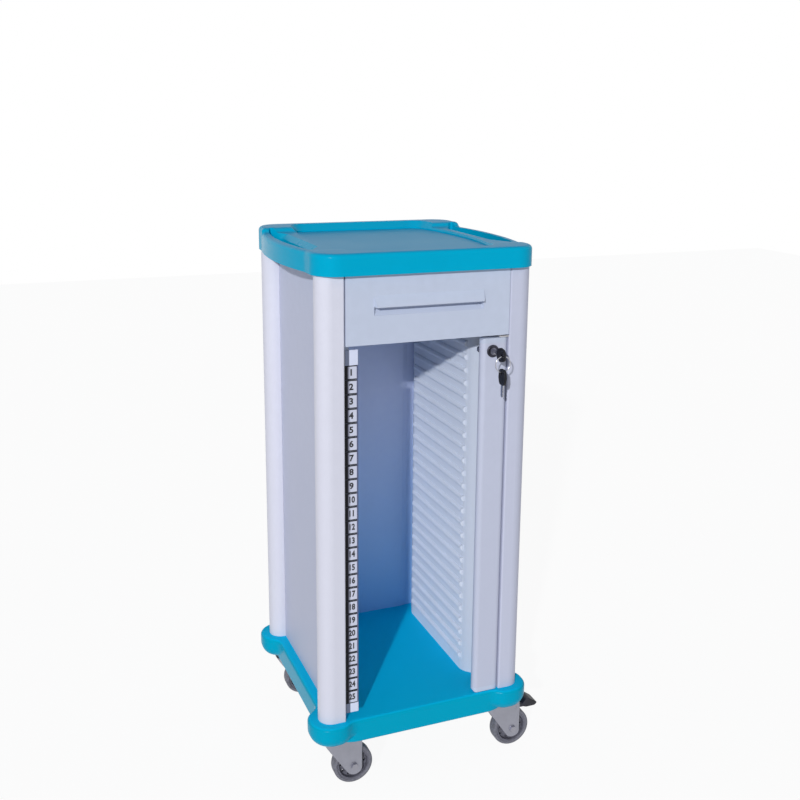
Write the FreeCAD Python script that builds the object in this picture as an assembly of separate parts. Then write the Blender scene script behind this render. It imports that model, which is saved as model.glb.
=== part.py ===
"""Medical chart rack: a wheeled rack for patient charts, one STEP file per piece, in millimetres.

X runs across the front from left to right, Y from front to rear and Z up from the floor.
The model is drawn about the middle of the carcass and then moved so that the origin lies on the
floor at the middle of the whole footprint, from the brake pedal to the opposite base lobe and from
the key to the rear edge.
"""
import FreeCAD, Part
import math
import os

Vector = FreeCAD.Vector
X_AXIS = Vector(1, 0, 0)
Y_AXIS = Vector(0, 1, 0)
Z_AXIS = Vector(0, 0, 1)

# ---------------------------------------------------------------- driving sizes, millimetres
# Carcass
body_width = 394.0            # across the outer faces of the columns
body_depth = 391.0            # front of the front columns to back of the rear columns
column_width = 45.0           # X
column_depth = 48.0           # Y
column_corner = 24.0          # radius of the two outer corners
column_inner_corner = 3.0
column_wall = 3.0
column_boss = 8.0             # radius of the screw boss inside a column
panel_recess = 27.8           # side panel behind the outer face of the columns
panel_thickness = 8.0
panel_tongue = 6.0            # how far a panel reaches into a column
slip = 0.2                    # clearance between pieces that are pushed together
running = 0.05                # radial clearance of a turning fit
clear = 0.4                   # clearance between moving pieces that never touch
seam = 0.5                    # visible gap between neighbours that are not joined

# Charts
slot_count = 25
slot_pitch = 25.0
tag_strip_end_low = 18.0      # plain strip below the lowest number
tag_strip_end_high = 26.0     # plain strip above the highest number
opening_above_strip = 6.0     # strip end to the drawer
opening_below_strip = 13.0    # base to strip end

# Back panel
back_inset = 1.0              # in from the rear of the columns
back_thickness = 4.0
back_field_rise = 3.0         # the middle of the panel stands forward
back_field_margin = 47.0      # raised field, in from the columns' inner faces
back_field_slope = 10.0       # width of the slope beside the field

# Slot liners
liner_thickness = 3.0
liner_stand = 38.0            # ribbed face, in from the columns' inner faces
liner_flange = 22.0           # flat flange on the front column
liner_front_bend_y = 86.0     # front bend, behind the front of the columns
liner_rear_margin = 48.0      # rear bend, before the rear of the columns
liner_foot_margin = 21.0      # foot of the rear slant, in from the columns' inner faces
liner_bend = 28.0             # radius of the wide bends
liner_foot_bend = 12.0        # radius of the bend at the back panel
liner_head = 3.0              # top of the liner below the drawer opening
rib_reach = 5.0
rib_height = 11.0
rib_front = 90.0              # front end of the ribs, behind the front of the columns
rib_rear_margin = 53.0        # rear end of the ribs, before the rear of the columns

# Casters
wheel_clearance = 5.0         # tread to the underside of the crown
wheel_width = 23.0
wheel_shoulder = 4.5
tread_lip = 1.5
tyre_thickness = 7.0
hub_rim = 10.0                # half width of the hub's rim
hub_flange = 3.0
hub_web = 3.0                 # half thickness of the web
hub_nave = 6.0                # wall of the nave round the axle
hub_window = 2.8              # radius of the round windows in the web
hub_window_count = 10
hub_window_inset = 7.5        # their circle inside the hub's radius
axle_radius = 4.0
axle_head = 12.0              # across the flats of its head and nut
axle_head_height = 4.0
caster_height = 99.0          # floor to the underside of the base
caster_inset = 34.0           # swivel axis in from the outer faces of the columns, across
caster_inset_y = 32.0         # and from their front or rear
caster_trail = 31.5
fork_gap = 28.0               # between the two cheeks
fork_cheek = 3.2
fork_crown = 11.4             # thickness of the crown
cheek_boss = 16.5             # radius of a cheek's round end about the axle
cheek_front = 25.0            # leading edge of the cheeks at the crown, in front of the swivel axis
fork_front_corner = 12.0
fork_rear_corner = 6.0
fork_edge = 4.0
race_radius = 18.0
race_height = 4.0
stem_radius = 5.0
stem_reach = 36.0             # stem above the base, inside the column
mount_radius = 23.0
mount_plate = 3.2
kingpin_free = 6.0            # kingpin end above the underside of the crown

# Brake pedals, measured behind the swivel axis
pedal_pivot_x = 38.0
pedal_pivot_rise = 1.5        # pivot above the underside of the crown
pedal_arm = 5.2
pedal_tip = 86.0
pedal_length = 34.0           # the part the foot presses
pedal_rise = 15.0             # top of the pedal above the underside of the crown
pedal_depth = 18.5
pedal_heel = 5.0              # arm in front of the pivot
pedal_pin_radius = 1.8
pedal_pin_stand = 0.8         # pin end outside a cheek
relief_front = 12.0           # room for the pedal starts this far before the axle
relief_roof = 2.5             # crown left above that room

# Base
base_thickness = 43.5
base_front_lip = 5.0          # base edge in front of the columns
base_side_inset = 9.0         # base edge behind the columns' outer face, between the lobes
base_corner = 60.0            # the straight sides turn in behind the lobes
base_wall = 6.0
base_round_under = 24.0       # lower edge of the lobes
base_round_under_straight = 4.0   # lower edge between the lobes
base_round_top = 6.0
lobe_overhang = 18.0
lobe_length = 80.0
lobe_corner = 40.0
lobe_flank_corner = 34.0
lobe_blend = 30.0
under_corner = 6.0

# Drawer
drawer_height = 120.0         # base of the drawer front to the tray skirt
drawer_gap = 1.5              # seam round the drawer front
drawer_stand = 0.5            # drawer front before the front of the columns
drawer_front_thickness = 18.0
drawer_front_corner = 1.5
drawer_wall = 2.5
drawer_box_height = 88.0
drawer_box_corner = 4.0
drawer_box_rise = 2.5         # box above the crossbar
drawer_rear_gap = 40.5        # box to the back panel's raised field
runner_space = 13.0           # each side, between box and column
runner_height = 42.0
runner_rise = 20.0            # runner above the foot of the box
runner_sheet = 1.6
runner_lip = 4.0
runner_start = 2.0            # channel behind the drawer front
runner_seat = 21.5            # channel's overlap with the rear column
runner_head_gap = 3.0         # slider to the channel's web
runner_neck_gap = 1.5         # slider's neck to the channel's lips
slider_front = 3.0            # slider behind the drawer front
slider_rear = 3.0             # slider end before the rear of the box
drawer_screw_radius = 2.0
drawer_screw_head = 3.8
drawer_screw_head_height = 2.0
drawer_screw_reach = 5.0
drawer_screw_inset = 72.0     # screws in from the columns' inner faces
drawer_screw_rise = 12.0      # between the lower and the upper screw
pull_width = 201.0
pull_out = 9.0                # how far the lip stands out
pull_in = 9.0                 # how deep the finger recess is
pull_rise = 19.0              # lip up to the top of the bulge
pull_drop = 15.0              # lip down to the foot of the recess
pull_below_top = 55.0         # lip below the tray skirt
pull_lip = 3.0                # height of the lip's edge
pull_taper = 2.5              # draft of the pull's ends
pull_throat = 5.0             # height of the recess at its depth

# Top tray
skirt_height = 37.0           # skirt edge to the rim
tray_overhang = 12.0          # front and rear
tray_side_overhang = 5.0      # at the corners
tray_corner = 42.0
tray_edge = 8.0               # rounding of the outer top edge
grip_bulge = 15.0             # how far the grips bow out beyond the corners
rail_drop = 2.0               # grip rail below the rim
bow_blend = 60.0              # plan radius where a grip meets a corner
grip_front = 68.0             # front end of the grip, from the front of the columns
grip_rear_margin = 53.0       # rear end of the grip, before the rear of the columns
grip_run = 8.0                # the bow runs on beyond the grip at both ends
grip_slope = 18.0             # length of the slope up to the rear rim
grip_slope_front = 30.0       # length of the slope up to the front rim
rail_width = 14.0             # grip rail, outside the slot
slot_inset = 25.0             # inner edge of the grip slot, in from the columns' outer face
slot_flare = 9.0              # the slot's inner wall leans in by this at the top
slot_end_wall = 2.5           # grip end to the slot's end
slot_tip = 34.0               # length of the slot's drawn-in ends
slot_tip_width = 12.0         # how far they are drawn in
grip_end_round = 2.2
recess_depth = 7.5            # work surface below the rim
recess_side = 71.0            # corners of the work surface, in from the columns' outer faces
recess_bulge = 22.0           # its sides bow outward by this
recess_front = 23.5
recess_rear = 19.5
recess_corner = 20.0
recess_foot = 2.5             # upright foot of the recess wall
rear_rise = 7.0               # rear rim above the front rim
deck_thickness = 5.0
top_rail_depth = 20.0
top_rail_height = 20.0
top_rail_wall = 2.0
top_rail_inset = 8.0
tray_screw_radius = 2.5
tray_screw_head = 4.5
tray_screw_head_height = 3.0
tray_screw_inset = 52.0       # screws in from the columns' inner faces
tray_screw_free = 1.0         # screw end below the work surface

# Front crossbar and label strip
crossbar_set_back = 18.2      # behind the front of the columns, just behind the drawer front
crossbar_depth = 24.0
crossbar_height = 11.0
crossbar_sheet = 1.5
strip_width = 24.0
strip_set_back = 6.0
strip_thickness = 2.5
strip_flange = 20.0
strip_bead = 0.5              # the bead stands out beyond the strip's thickness
tag_thickness = 0.6
tag_gap = 0.5
tag_edge = 0.5                # tag in from the column
tag_margin = 1.5              # tag in from the strip's free edge

# Lock bar
bar_width = 51.5
bar_depth = 18.0              # also twice the radius of its hinge barrel
bar_wall = 2.5
bar_set_back = 1.0            # behind the front of the columns
bar_column_gap = 0.7
bar_foot_gap = 1.0
bar_slot_edge = 2.0           # back slot in from the free edge's barrel
bar_slot_hinge = 8.0          # back slot in from the hinge axis
cap_height = 9.0
cap_corner = 7.0
hinge_pin_radius = 3.0
hinge_pin_free = 0.2          # upper pin end below the top of its plate
hinge_plate = 2.5
hinge_plate_width = 19.5
hinge_plate_corner = 8.0
bush_radius = 5.5
bush_length = 12.0
bush_floor = 1.0

# Lock and keys
lock_below_drawer = 26.5
lock_from_edge = 21.0         # bar's free edge to the lock
bezel_radius = 11.2
bezel_height = 3.0
bezel_round = 1.6
barrel_radius = 8.0
plug_radius = 6.0
plug_stand = 0.4              # plug face before the bezel
plug_tail = 7.0               # square tail for the cam
nut_flats = 22.0
nut_height = 3.5
cam_length = 20.0
cam_root = 6.5
cam_tip = 4.0
cam_edge = 0.6                # straight left between the corners of its root
cam_thickness = 2.0
cam_screw_flats = 8.0
cam_screw_height = 3.0
keeper_gap = 0.5
keeper_thickness = 1.4
keeper_width = 22.0
keeper_low = 10.5             # keeper edge above the lock's axis
keeper_corner = 3.0
key_reach = 47.0              # key end in front of the bar's face
bow_length = 28.0
bow_height = 25.0
bow_thickness = 5.0
bow_edge = 1.2
bow_widest = 0.45             # widest place, as a part of its length
bow_shoulder = 4.0
bow_tip = 3.0
bow_corner = 6.5
bow_side = 9.0
hole_radius = 2.6
hole_from_end = 6.5           # ring hole from the outer end of the bow
blade_length = 22.0
blade_height = 8.0
blade_thickness = 2.0
blade_nose = 3.0
cut_foot = 1.4                # half widths of a cut at the edge and at its floor
cut_flat = 0.5
blade_root = 6.0              # blade inside the bow
blade_fit = 0.05              # clearance of each face in the keyway
blade_cuts = ((6.0, 1.6), (9.0, 2.6), (12.0, 1.2), (15.0, 2.2))   # place along the blade, depth
keyway_height = 8.4
ring_radius = 14.0
ring_wire = 0.9
ring_play = 0.6               # lets the wire's curve pass through a straight hole

# ---------------------------------------------------------------- heights and places worked out
half_w = body_width / 2
half_d = body_depth / 2
base_top = caster_height + base_thickness
strip_bottom = base_top + opening_below_strip
tags_bottom = strip_bottom + tag_strip_end_low
tags_top = tags_bottom + slot_count * slot_pitch
strip_top = tags_top + tag_strip_end_high
opening_top = strip_top + opening_above_strip
skirt_bottom = opening_top + drawer_height
rim_top = skirt_bottom + skirt_height
rail_top = rim_top - rail_drop
rear_top = rim_top + rear_rise
tray_room = rear_top + tray_edge              # cutting tools for the tray reach up to here
work_top = rim_top - recess_depth
deck_underside = work_top - deck_thickness
inner_face = half_w - column_width          # X of the columns' inner faces, right side
swivel_x = half_w - caster_inset
swivel_y = half_d - caster_inset_y
fork_width = fork_gap + 2 * fork_cheek
crown_top = caster_height - mount_plate - clear
crown_low = crown_top - race_height - fork_crown
wheel_radius = (crown_low - wheel_clearance) / 2
hub_radius = wheel_radius - tyre_thickness
pedal_pivot_z = crown_low + pedal_pivot_rise
pedal_top = crown_low + pedal_rise

back_front_face = half_d - back_inset - back_thickness
back_field_half = inner_face - back_field_margin
back_field_face = back_front_face - back_field_rise
liner_inner = inner_face - liner_stand
liner_rear_bend_y = body_depth - liner_rear_margin
liner_rear_foot = inner_face - liner_foot_margin
rib_rear = body_depth - rib_rear_margin
front_rail_y = -half_d + top_rail_inset
rear_rail_y = back_field_face - top_rail_depth

grip_rear = body_depth - grip_rear_margin
bow_half = (grip_rear - grip_front) / 2 + grip_run
bow_middle = -half_d + (grip_front + grip_rear) / 2

crossbar_low = opening_top - seam
crossbar_rear = -half_d + crossbar_set_back + crossbar_depth
drawer_front_y = -half_d - drawer_stand
drawer_back_y = drawer_front_y + drawer_front_thickness
drawer_floor = crossbar_low + crossbar_height + drawer_box_rise
drawer_box_depth = back_field_face - drawer_rear_gap - drawer_back_y
box_half = inner_face - runner_space
pull_z = skirt_bottom - pull_below_top
runner_low = drawer_floor + runner_rise
runner_reach = runner_space - drawer_wall
runner_front = drawer_back_y + runner_start
runner_length = half_d - column_depth + runner_seat - runner_front
tray_screw_x = (-inner_face + tray_screw_inset, inner_face - tray_screw_inset)
drawer_screw_x = (-inner_face + drawer_screw_inset, inner_face - drawer_screw_inset)

bar_front = -half_d + bar_set_back
bar_back = bar_front + bar_depth
bar_radius = bar_depth / 2
hinge_x = inner_face - bar_column_gap - bar_radius
hinge_y = bar_front + bar_radius
bar_left = inner_face - bar_column_gap - bar_width
bar_bottom = base_top + bar_foot_gap
hinge_plate_low = crossbar_low - hinge_plate
bar_top = hinge_plate_low - seam
lock_x = bar_left + lock_from_edge
lock_z = opening_top - lock_below_drawer
cam_front = bar_back + keeper_gap + keeper_thickness + keeper_gap

key_end = bar_front - key_reach
bow_root = key_end + bow_length
ring_y = key_end + hole_from_end
ring_top = lock_z - hole_radius + ring_wire + ring_play
ring_centre = ring_top - ring_radius
spare_hole = ring_centre - ring_radius - hole_radius + ring_wire + ring_play


# ---------------------------------------------------------------- drawing helpers
def corner_arc(before, here, after, radius):
    """The two tangent points and the middle of the arc that rounds one corner."""
    a = Vector(*before).sub(Vector(*here))
    b = Vector(*after).sub(Vector(*here))
    a.normalize()
    b.normalize()
    half = a.getAngle(b) / 2
    setback = radius / math.tan(half)
    bisector = a.add(b)
    bisector.normalize()
    middle = Vector(*here).add(bisector.multiply(radius / math.sin(half) - radius))
    return Vector(*here).add(a.multiply(setback)), middle, Vector(*here).add(b.multiply(setback))


def outline(corners, place=lambda u, v: (u, v, 0)):
    """A closed face from (u, v, radius) corners, put in space by place(u, v)."""
    points = [place(u, v) for u, v, radius in corners]
    edges = []
    joints = []
    for i, (u, v, radius) in enumerate(corners):
        before, here, after = points[i - 1], points[i], points[(i + 1) % len(points)]
        if radius > 0:
            start, middle, end = corner_arc(before, here, after, radius)
            edges.append(Part.Arc(start, middle, end).toShape())
        else:
            start = end = Vector(*here)
        joints.append((start, end))
    for i in range(len(corners)):
        start, end = joints[i][1], joints[(i + 1) % len(corners)][0]
        if start.distanceToPoint(end) > 1e-6:
            edges.append(Part.makeLine(start, end))
    return Part.Face(Part.Wire(Part.__sortEdges__(edges)))


def slab(corners, z0, z1):
    """A plan outline of (x, y, radius) corners, raised from z0 to z1."""
    face = outline(corners, lambda x, y: (x, y, z0))
    return face.extrude(Vector(0, 0, z1 - z0))


def side_slab(corners, y0, y1):
    """An (x, z, radius) outline seen from the front, run from y0 to y1."""
    face = outline(corners, lambda x, z: (x, y0, z))
    return face.extrude(Vector(0, y1 - y0, 0))


def end_slab(corners, x0, x1):
    """A (y, z, radius) outline seen from the side, run from x0 to x1."""
    face = outline(corners, lambda y, z: (x0, y, z))
    return face.extrude(Vector(x1 - x0, 0, 0))


def block(x0, x1, y0, y1, z0, z1):
    return Part.makeBox(x1 - x0, y1 - y0, z1 - z0, Vector(x0, y0, z0))


def rect(x0, x1, y0, y1, radius):
    """Corners of a rectangle, all with one radius."""
    return [(x0, y0, radius), (x1, y0, radius), (x1, y1, radius), (x0, y1, radius)]


def rod(radius, start, length, axis=Z_AXIS):
    return Part.makeCylinder(radius, length, Vector(*start), axis)


def hexagon(across_flats, start, length, axis):
    """A hexagonal prism, for nuts and bolt heads."""
    radius = across_flats / math.sqrt(3)
    points = [Vector(radius * math.cos(math.radians(60 * i)), radius * math.sin(math.radians(60 * i)), 0)
              for i in range(6)]
    prism = Part.Face(Part.makePolygon(points + [points[0]])).extrude(Vector(0, 0, length))
    prism.Placement = FreeCAD.Placement(Vector(*start), FreeCAD.Rotation(Z_AXIS, axis))
    return prism


def fuse(shapes):
    return shapes[0].multiFuse(shapes[1:]).removeSplitter() if len(shapes) > 1 else shapes[0]


def mirror_x(shape):
    return shape.mirror(Vector(0, 0, 0), X_AXIS)


def mirror_y(shape):
    return shape.mirror(Vector(0, 0, 0), Y_AXIS)


def moved(shape, x=0, y=0, z=0):
    copy = shape.copy()
    copy.translate(Vector(x, y, z))
    return copy


def s_bend(y0, z0, y1, z1):
    """The two rounded corners of a smooth slope from the level z0 at y0 to the level z1 at y1."""
    rise = abs(z1 - z0)
    half_angle = math.atan2(rise, y1 - y0)
    reach = rise / (2 * math.sin(2 * half_angle))
    radius = 0.98 * reach / math.tan(half_angle)
    return [(y0 + reach, z0, radius), (y1 - reach, z1, radius)]


def edges_where(shape, test):
    return [edge for edge in shape.Edges if test(edge)]


def is_upright(edge):
    if edge.Curve.TypeId != "Part::GeomLine":
        return False
    direction = edge.tangentAt(edge.FirstParameter)
    return abs(direction.z) > 0.999


def at_height(edge, z):
    box = edge.BoundBox
    return abs(box.ZMin - z) < 1e-3 and abs(box.ZMax - z) < 1e-3


def strip(points, thickness, z0, z1):
    """A wall of even thickness along an open plan path of (x, y, radius of the bend) points."""
    sides = []
    for side in (1, -1):
        line = []
        for i, (x, y, radius) in enumerate(points):
            normals = []
            for j in (i - 1, i):
                if 0 <= j < len(points) - 1:
                    dx, dy = points[j + 1][0] - points[j][0], points[j + 1][1] - points[j][1]
                    length = math.hypot(dx, dy)
                    normals.append((-dy / length, dx / length))
            nx = sum(n[0] for n in normals) / len(normals)
            ny = sum(n[1] for n in normals) / len(normals)
            scale = side * thickness / 2 / (nx * nx + ny * ny)
            bend = 0
            if len(normals) == 2:
                turn = normals[0][0] * normals[1][1] - normals[0][1] * normals[1][0]
                bend = radius - math.copysign(thickness / 2, turn) * side
            line.append((x + nx * scale, y + ny * scale, bend))
        sides.append(line)
    return slab(sides[0] + sides[1][::-1], z0, z1)


# ---------------------------------------------------------------- carcass
def column_front_left():
    """A hollow column with two large outer corners, a web, a screw boss and a panel groove."""
    x0, y0 = -half_w, -half_d
    x1, y1 = x0 + column_width, y0 + column_depth
    top = deck_underside
    outer = slab([(x0, y0, column_corner), (x1, y0, column_inner_corner),
                  (x1, y1, column_inner_corner), (x0, y1, column_corner)], base_top, top)
    groove_floor = y1 - panel_tongue - slip
    hollow = slab([(x0 + column_wall, y0 + column_wall, column_corner - column_wall),
                   (x1 - column_wall, y0 + column_wall, 1),
                   (x1 - column_wall, groove_floor - column_wall, 1),
                   (x0 + column_wall, groove_floor - column_wall, column_corner / 2)],
                  base_top, top)
    boss_x, boss_y = -swivel_x, -swivel_y
    boss = rod(column_boss, (boss_x, boss_y, base_top), top - base_top)
    web = block(x0, x1, boss_y - column_wall / 2, boss_y + column_wall / 2, base_top, top)
    hollow = hollow.cut(fuse([boss, web]))
    bore = rod(stem_radius + slip, (boss_x, boss_y, base_top), top - base_top)
    panel_x = x0 + panel_recess
    groove = block(panel_x - slip, panel_x + panel_thickness + slip, groove_floor, y1, base_top, top)
    return outer.cut(hollow).cut(bore).cut(groove)


def side_panel_left():
    x0 = -half_w + panel_recess
    reach = half_d - column_depth + panel_tongue
    return block(x0, x0 + panel_thickness, -reach, reach, base_top, deck_underside)


def back_panel():
    """A pressed back panel whose middle field stands forward of its edges."""
    outer_y = half_d - back_inset
    rear = [(-inner_face, outer_y), (-back_field_half - back_field_slope, outer_y),
            (-back_field_half, outer_y - back_field_rise), (back_field_half, outer_y - back_field_rise),
            (back_field_half + back_field_slope, outer_y), (inner_face, outer_y)]
    front = [(x, y - back_thickness) for x, y in reversed(rear)]
    return slab([(x, y, 0) for x, y in rear + front], base_top, deck_underside)


def liner_ribs():
    """Level ribs on the liner's inner face, one between each two slots, with rounded ends."""
    back_x = -liner_inner - liner_thickness / 2
    crest_x = -liner_inner + rib_reach
    y0, y1 = -half_d + rib_front, -half_d + rib_rear
    half = rib_height / 2
    low = Vector(back_x, y0, -half)
    high = Vector(back_x, y0, half)
    arc = Part.Arc(Vector(-liner_inner, y0, -half), Vector(crest_x, y0, 0), Vector(-liner_inner, y0, half))
    profile = Part.Wire([arc.toShape(), Part.makeLine(Vector(-liner_inner, y0, half), high),
                         Part.makeLine(high, low), Part.makeLine(low, Vector(-liner_inner, y0, -half))])
    bar = Part.Face(profile).extrude(Vector(0, y1 - y0, 0))
    ends = slab([(back_x, y0, 0), (crest_x, y0, rib_reach), (crest_x, y1, rib_reach), (back_x, y1, 0)],
                -half, half)
    rib = bar.common(ends)
    return [moved(rib, z=tags_bottom + slot_pitch * i) for i in range(slot_count + 1)]


def slot_liner_left():
    """One formed wall: a flange on the front column, a slant, the ribbed face, a slant, a rear flange."""
    mid = -liner_inner - liner_thickness / 2
    flange_x = -inner_face + liner_thickness / 2
    front_y = -half_d + liner_front_bend_y
    slant = mid - flange_x
    flange_y = back_front_face - liner_thickness / 2
    path = [(flange_x, front_y - slant - liner_flange, 0), (flange_x, front_y - slant, liner_bend),
            (mid, front_y, liner_bend), (mid, -half_d + liner_rear_bend_y, liner_bend),
            (-liner_rear_foot, flange_y, liner_foot_bend), (-inner_face, flange_y, 0)]
    wall = strip(path, liner_thickness, base_top, opening_top - liner_head)
    return fuse([wall] + liner_ribs())


def base_middle(corner, z0, z1):
    """The straight-sided middle of the base."""
    x, y = half_w - base_side_inset, half_d + base_front_lip
    return slab(rect(-x, x, -y, y, corner), z0, z1)


def base_core(z0, z1):
    """The middle with its own edges: tighter below than the lobes."""
    core = base_middle(base_corner, z0, z1)
    core = core.makeFillet(base_round_under_straight, edges_where(core, lambda e: at_height(e, z0)))
    return core.makeFillet(base_round_top, edges_where(core, lambda e: at_height(e, z1)))


def lobed_plan(z0, z1):
    """The base's plan: straight edges with a rounded lobe standing out at each corner."""
    x0, y0 = -half_w - lobe_overhang, -half_d - lobe_overhang
    x1, y1 = x0 + lobe_length, y0 + lobe_length
    lobe = slab([(x0, y0, lobe_corner), (x1, y0, lobe_flank_corner), (x1, y1, under_corner),
                 (x0, y1, lobe_flank_corner)], z0, z1)
    lobes = [lobe, mirror_x(lobe), mirror_y(lobe), mirror_x(mirror_y(lobe))]
    return fuse([base_middle(lobe_corner, z0, z1)] + lobes)


def base_tray():
    """A moulded tray with four corner lobes, rounded edges and a hollow underside."""
    body = lobed_plan(caster_height, base_top)

    def hollow_corner(edge):
        if not is_upright(edge):
            return False
        x, y = abs(edge.BoundBox.Center.x), abs(edge.BoundBox.Center.y)
        at_side = abs(x - (half_w - base_side_inset)) < 0.5
        at_front = abs(y - (half_d + base_front_lip)) < 0.5
        return at_side or at_front

    body = body.makeFillet(lobe_blend, edges_where(body, hollow_corner))
    body = body.makeFillet(base_round_under, edges_where(body, lambda e: at_height(e, caster_height)))
    body = body.makeFillet(base_round_top, edges_where(body, lambda e: at_height(e, base_top)))
    body = fuse([body, base_core(caster_height, base_top)])
    pad_x = swivel_x - column_width
    pad_y = swivel_y - column_width
    edge_x = half_w - base_side_inset - base_wall - base_round_under
    edge_y = half_d + base_front_lip - base_wall - base_round_under
    ceiling = base_top - base_wall
    under = fuse([slab(rect(-pad_x, pad_x, -edge_y, edge_y, under_corner), caster_height, ceiling),
                  slab(rect(-edge_x, edge_x, -pad_y, pad_y, under_corner), caster_height, ceiling)])
    body = body.cut(under)
    for sx in (-1, 1):
        for sy in (-1, 1):
            place = (sx * swivel_x, sy * swivel_y, caster_height)
            body = body.cut(rod(stem_radius + slip, place, base_thickness))
    socket = rod(bush_radius, (hinge_x, hinge_y, base_top - bush_length), bush_length)
    return body.cut(socket)


# ---------------------------------------------------------------- top tray
def side_bow(inside, inner_x, z0, z1):
    """The bowed strip of the left side, out to inner_x; inside moves its curve inward by that much."""
    radius = (bow_half ** 2 + grip_bulge ** 2) / (2 * grip_bulge)
    x0 = -half_w - tray_side_overhang - grip_bulge
    disc = rod(radius - inside, (x0 + radius, bow_middle, z0), z1 - z0)
    return disc.common(block(x0, inner_x, bow_middle - bow_half, bow_middle + bow_half, z0, z1))


def tray_plan(z0, z1):
    """Rounded corners joined by long bowed sides."""
    x0 = -half_w - tray_side_overhang
    y0 = -half_d - tray_overhang
    core = slab(rect(x0, -x0, y0, -y0, tray_corner), z0, z1)
    bow = side_bow(0, -half_w + slot_inset, z0, z1)
    body = fuse([core, bow, mirror_x(bow)])
    kinks = edges_where(body, lambda e: is_upright(e)
                        and abs(abs(e.BoundBox.Center.y - bow_middle) - bow_half) < 1)
    return body.makeFillet(bow_blend, kinks)


def above_tray():
    """Everything above the tray: level at the front rim, a little lower at the grips, high at the rear."""
    wide = half_w + tray_side_overhang + grip_bulge + 1
    far = half_d + tray_overhang + 1
    front_y, rear_y = -half_d + grip_front, -half_d + grip_rear
    corners = [(-far, rim_top, 0)] + s_bend(front_y - grip_slope_front, rim_top, front_y, rail_top)
    corners += s_bend(rear_y - grip_slope, rail_top, rear_y, rear_top)
    corners += [(far, rear_top, 0), (far, tray_room, 0), (-far, tray_room, 0)]
    return end_slab(corners, -wide, wide)


def slot_sheet(lean, z0, z1):
    """The hand slot's plan: bowed along the rail, straight inside, drawn in towards its ends."""
    far = -half_w - tray_side_overhang - grip_bulge
    y0, y1 = -half_d + grip_front + slot_end_wall, -half_d + grip_rear - slot_end_wall
    inner = -half_w + slot_inset + lean
    tip = -half_w + slot_inset - slot_tip_width
    sheet = slab([(far, y0, 0), (tip, y0, 0), (inner, y0 + slot_tip, slot_tip),
                  (inner, y1 - slot_tip, slot_tip), (tip, y1, 0), (far, y1, 0)], z0, z1)
    slot = side_bow(rail_width, inner, z0, z1).common(sheet)
    return slot.makeFillet(grip_end_round, edges_where(slot, is_upright))


def recess_sheet(out, z0, z1):
    """The work surface's plan, wider in the middle than at its ends; out moves every wall outward."""
    y0, y1 = -half_d + recess_front, half_d - recess_rear
    half, span = half_w - recess_side, (y1 - y0) / 2
    radius = (span ** 2 + recess_bulge ** 2) / (2 * recess_bulge)
    disc = rod(radius + out, (radius - half - recess_bulge, (y0 + y1) / 2, z0), z1 - z0)
    ends = block(-half_w, half_w, y0 - out, y1 + out, z0, z1)
    sheet = disc.common(mirror_x(disc)).common(ends)
    return sheet.makeFillet(recess_corner + out, edges_where(sheet, is_upright))


def widening(sheet, lean, z0, z1):
    """A hollow that follows sheet(0) at z0 and sheet(lean) at z1."""
    wires = []
    for out, z in ((0, z0), (lean, z1)):
        thin = sheet(out, z, z + 1)
        foot = [face for face in thin.Faces if at_height(face, z)][0]
        wires.append(foot.OuterWire)
    return Part.makeLoft(wires, True, True)


def top_tray():
    """The tray in one moulding: rounded outside, with a sunk work surface and two hand slots."""
    body = tray_plan(skirt_bottom, tray_room).cut(above_tray())
    body = body.makeFillet(tray_edge, edges_where(body, is_tray_rim))
    wall_foot = work_top + recess_foot
    body = body.cut(recess_sheet(0, work_top, wall_foot))
    body = body.cut(widening(recess_sheet, tray_room - wall_foot, wall_foot, tray_room))
    slot_foot = rail_top - slot_flare
    slot = fuse([slot_sheet(0, skirt_bottom - 1, slot_foot),
                 widening(slot_sheet, tray_room - slot_foot, slot_foot, tray_room)])
    body = body.cut(slot).cut(mirror_x(slot))
    return body.cut(tray_underside())


def is_tray_rim(edge):
    """The outer edge of the tray's top, and not the level lines across it."""
    box = edge.BoundBox
    across = box.YLength < 1e-3 and abs(box.YMin) < half_d
    return box.ZMin > deck_underside and not is_upright(edge) and not across


def tray_underside():
    """The room under the tray that takes the columns, panels, rails and the drawer's headroom."""
    x, y = half_w + slip, half_d + slip
    column_x, column_y = half_w - column_width, half_d - column_depth
    panel_x = half_w - panel_recess + slip
    corner = column_corner
    middle = slab(rect(-panel_x, panel_x, -y, y, 0), skirt_bottom, deck_underside)
    pocket = slab([(-x, -y, corner), (-column_x, -y, 0), (-column_x, -column_y, 0),
                   (-x, -column_y, corner)], skirt_bottom, deck_underside)
    pockets = [pocket, mirror_x(pocket), mirror_y(pocket), mirror_x(mirror_y(pocket))]
    return fuse([middle] + pockets)


def top_rail(y0):
    """A box-section rail between two columns, under the tray's rim."""
    z1 = deck_underside
    z0 = z1 - top_rail_height
    outer = block(-inner_face, inner_face, y0, y0 + top_rail_depth, z0, z1)
    inner = block(-inner_face, inner_face, y0 + top_rail_wall, y0 + top_rail_depth - top_rail_wall,
                  z0 + top_rail_wall, z1 - top_rail_wall)
    holes = [rod(tray_screw_radius, (x, y0 + top_rail_depth / 2, z0), top_rail_height)
             for x in tray_screw_x]
    return outer.cut(inner).cut(fuse(holes))


def tray_screws():
    """Screws up through the two top rails into the tray."""
    screws = []
    for y in (front_rail_y + top_rail_depth / 2, rear_rail_y + top_rail_depth / 2):
        for x in tray_screw_x:
            foot = deck_underside - top_rail_height
            shank = rod(tray_screw_radius, (x, y, foot), top_rail_height + deck_thickness - tray_screw_free)
            head = rod(tray_screw_head, (x, y, foot - tray_screw_head_height), tray_screw_head_height)
            screws.append(fuse([shank, head]))
    return Part.makeCompound(screws)


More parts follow.
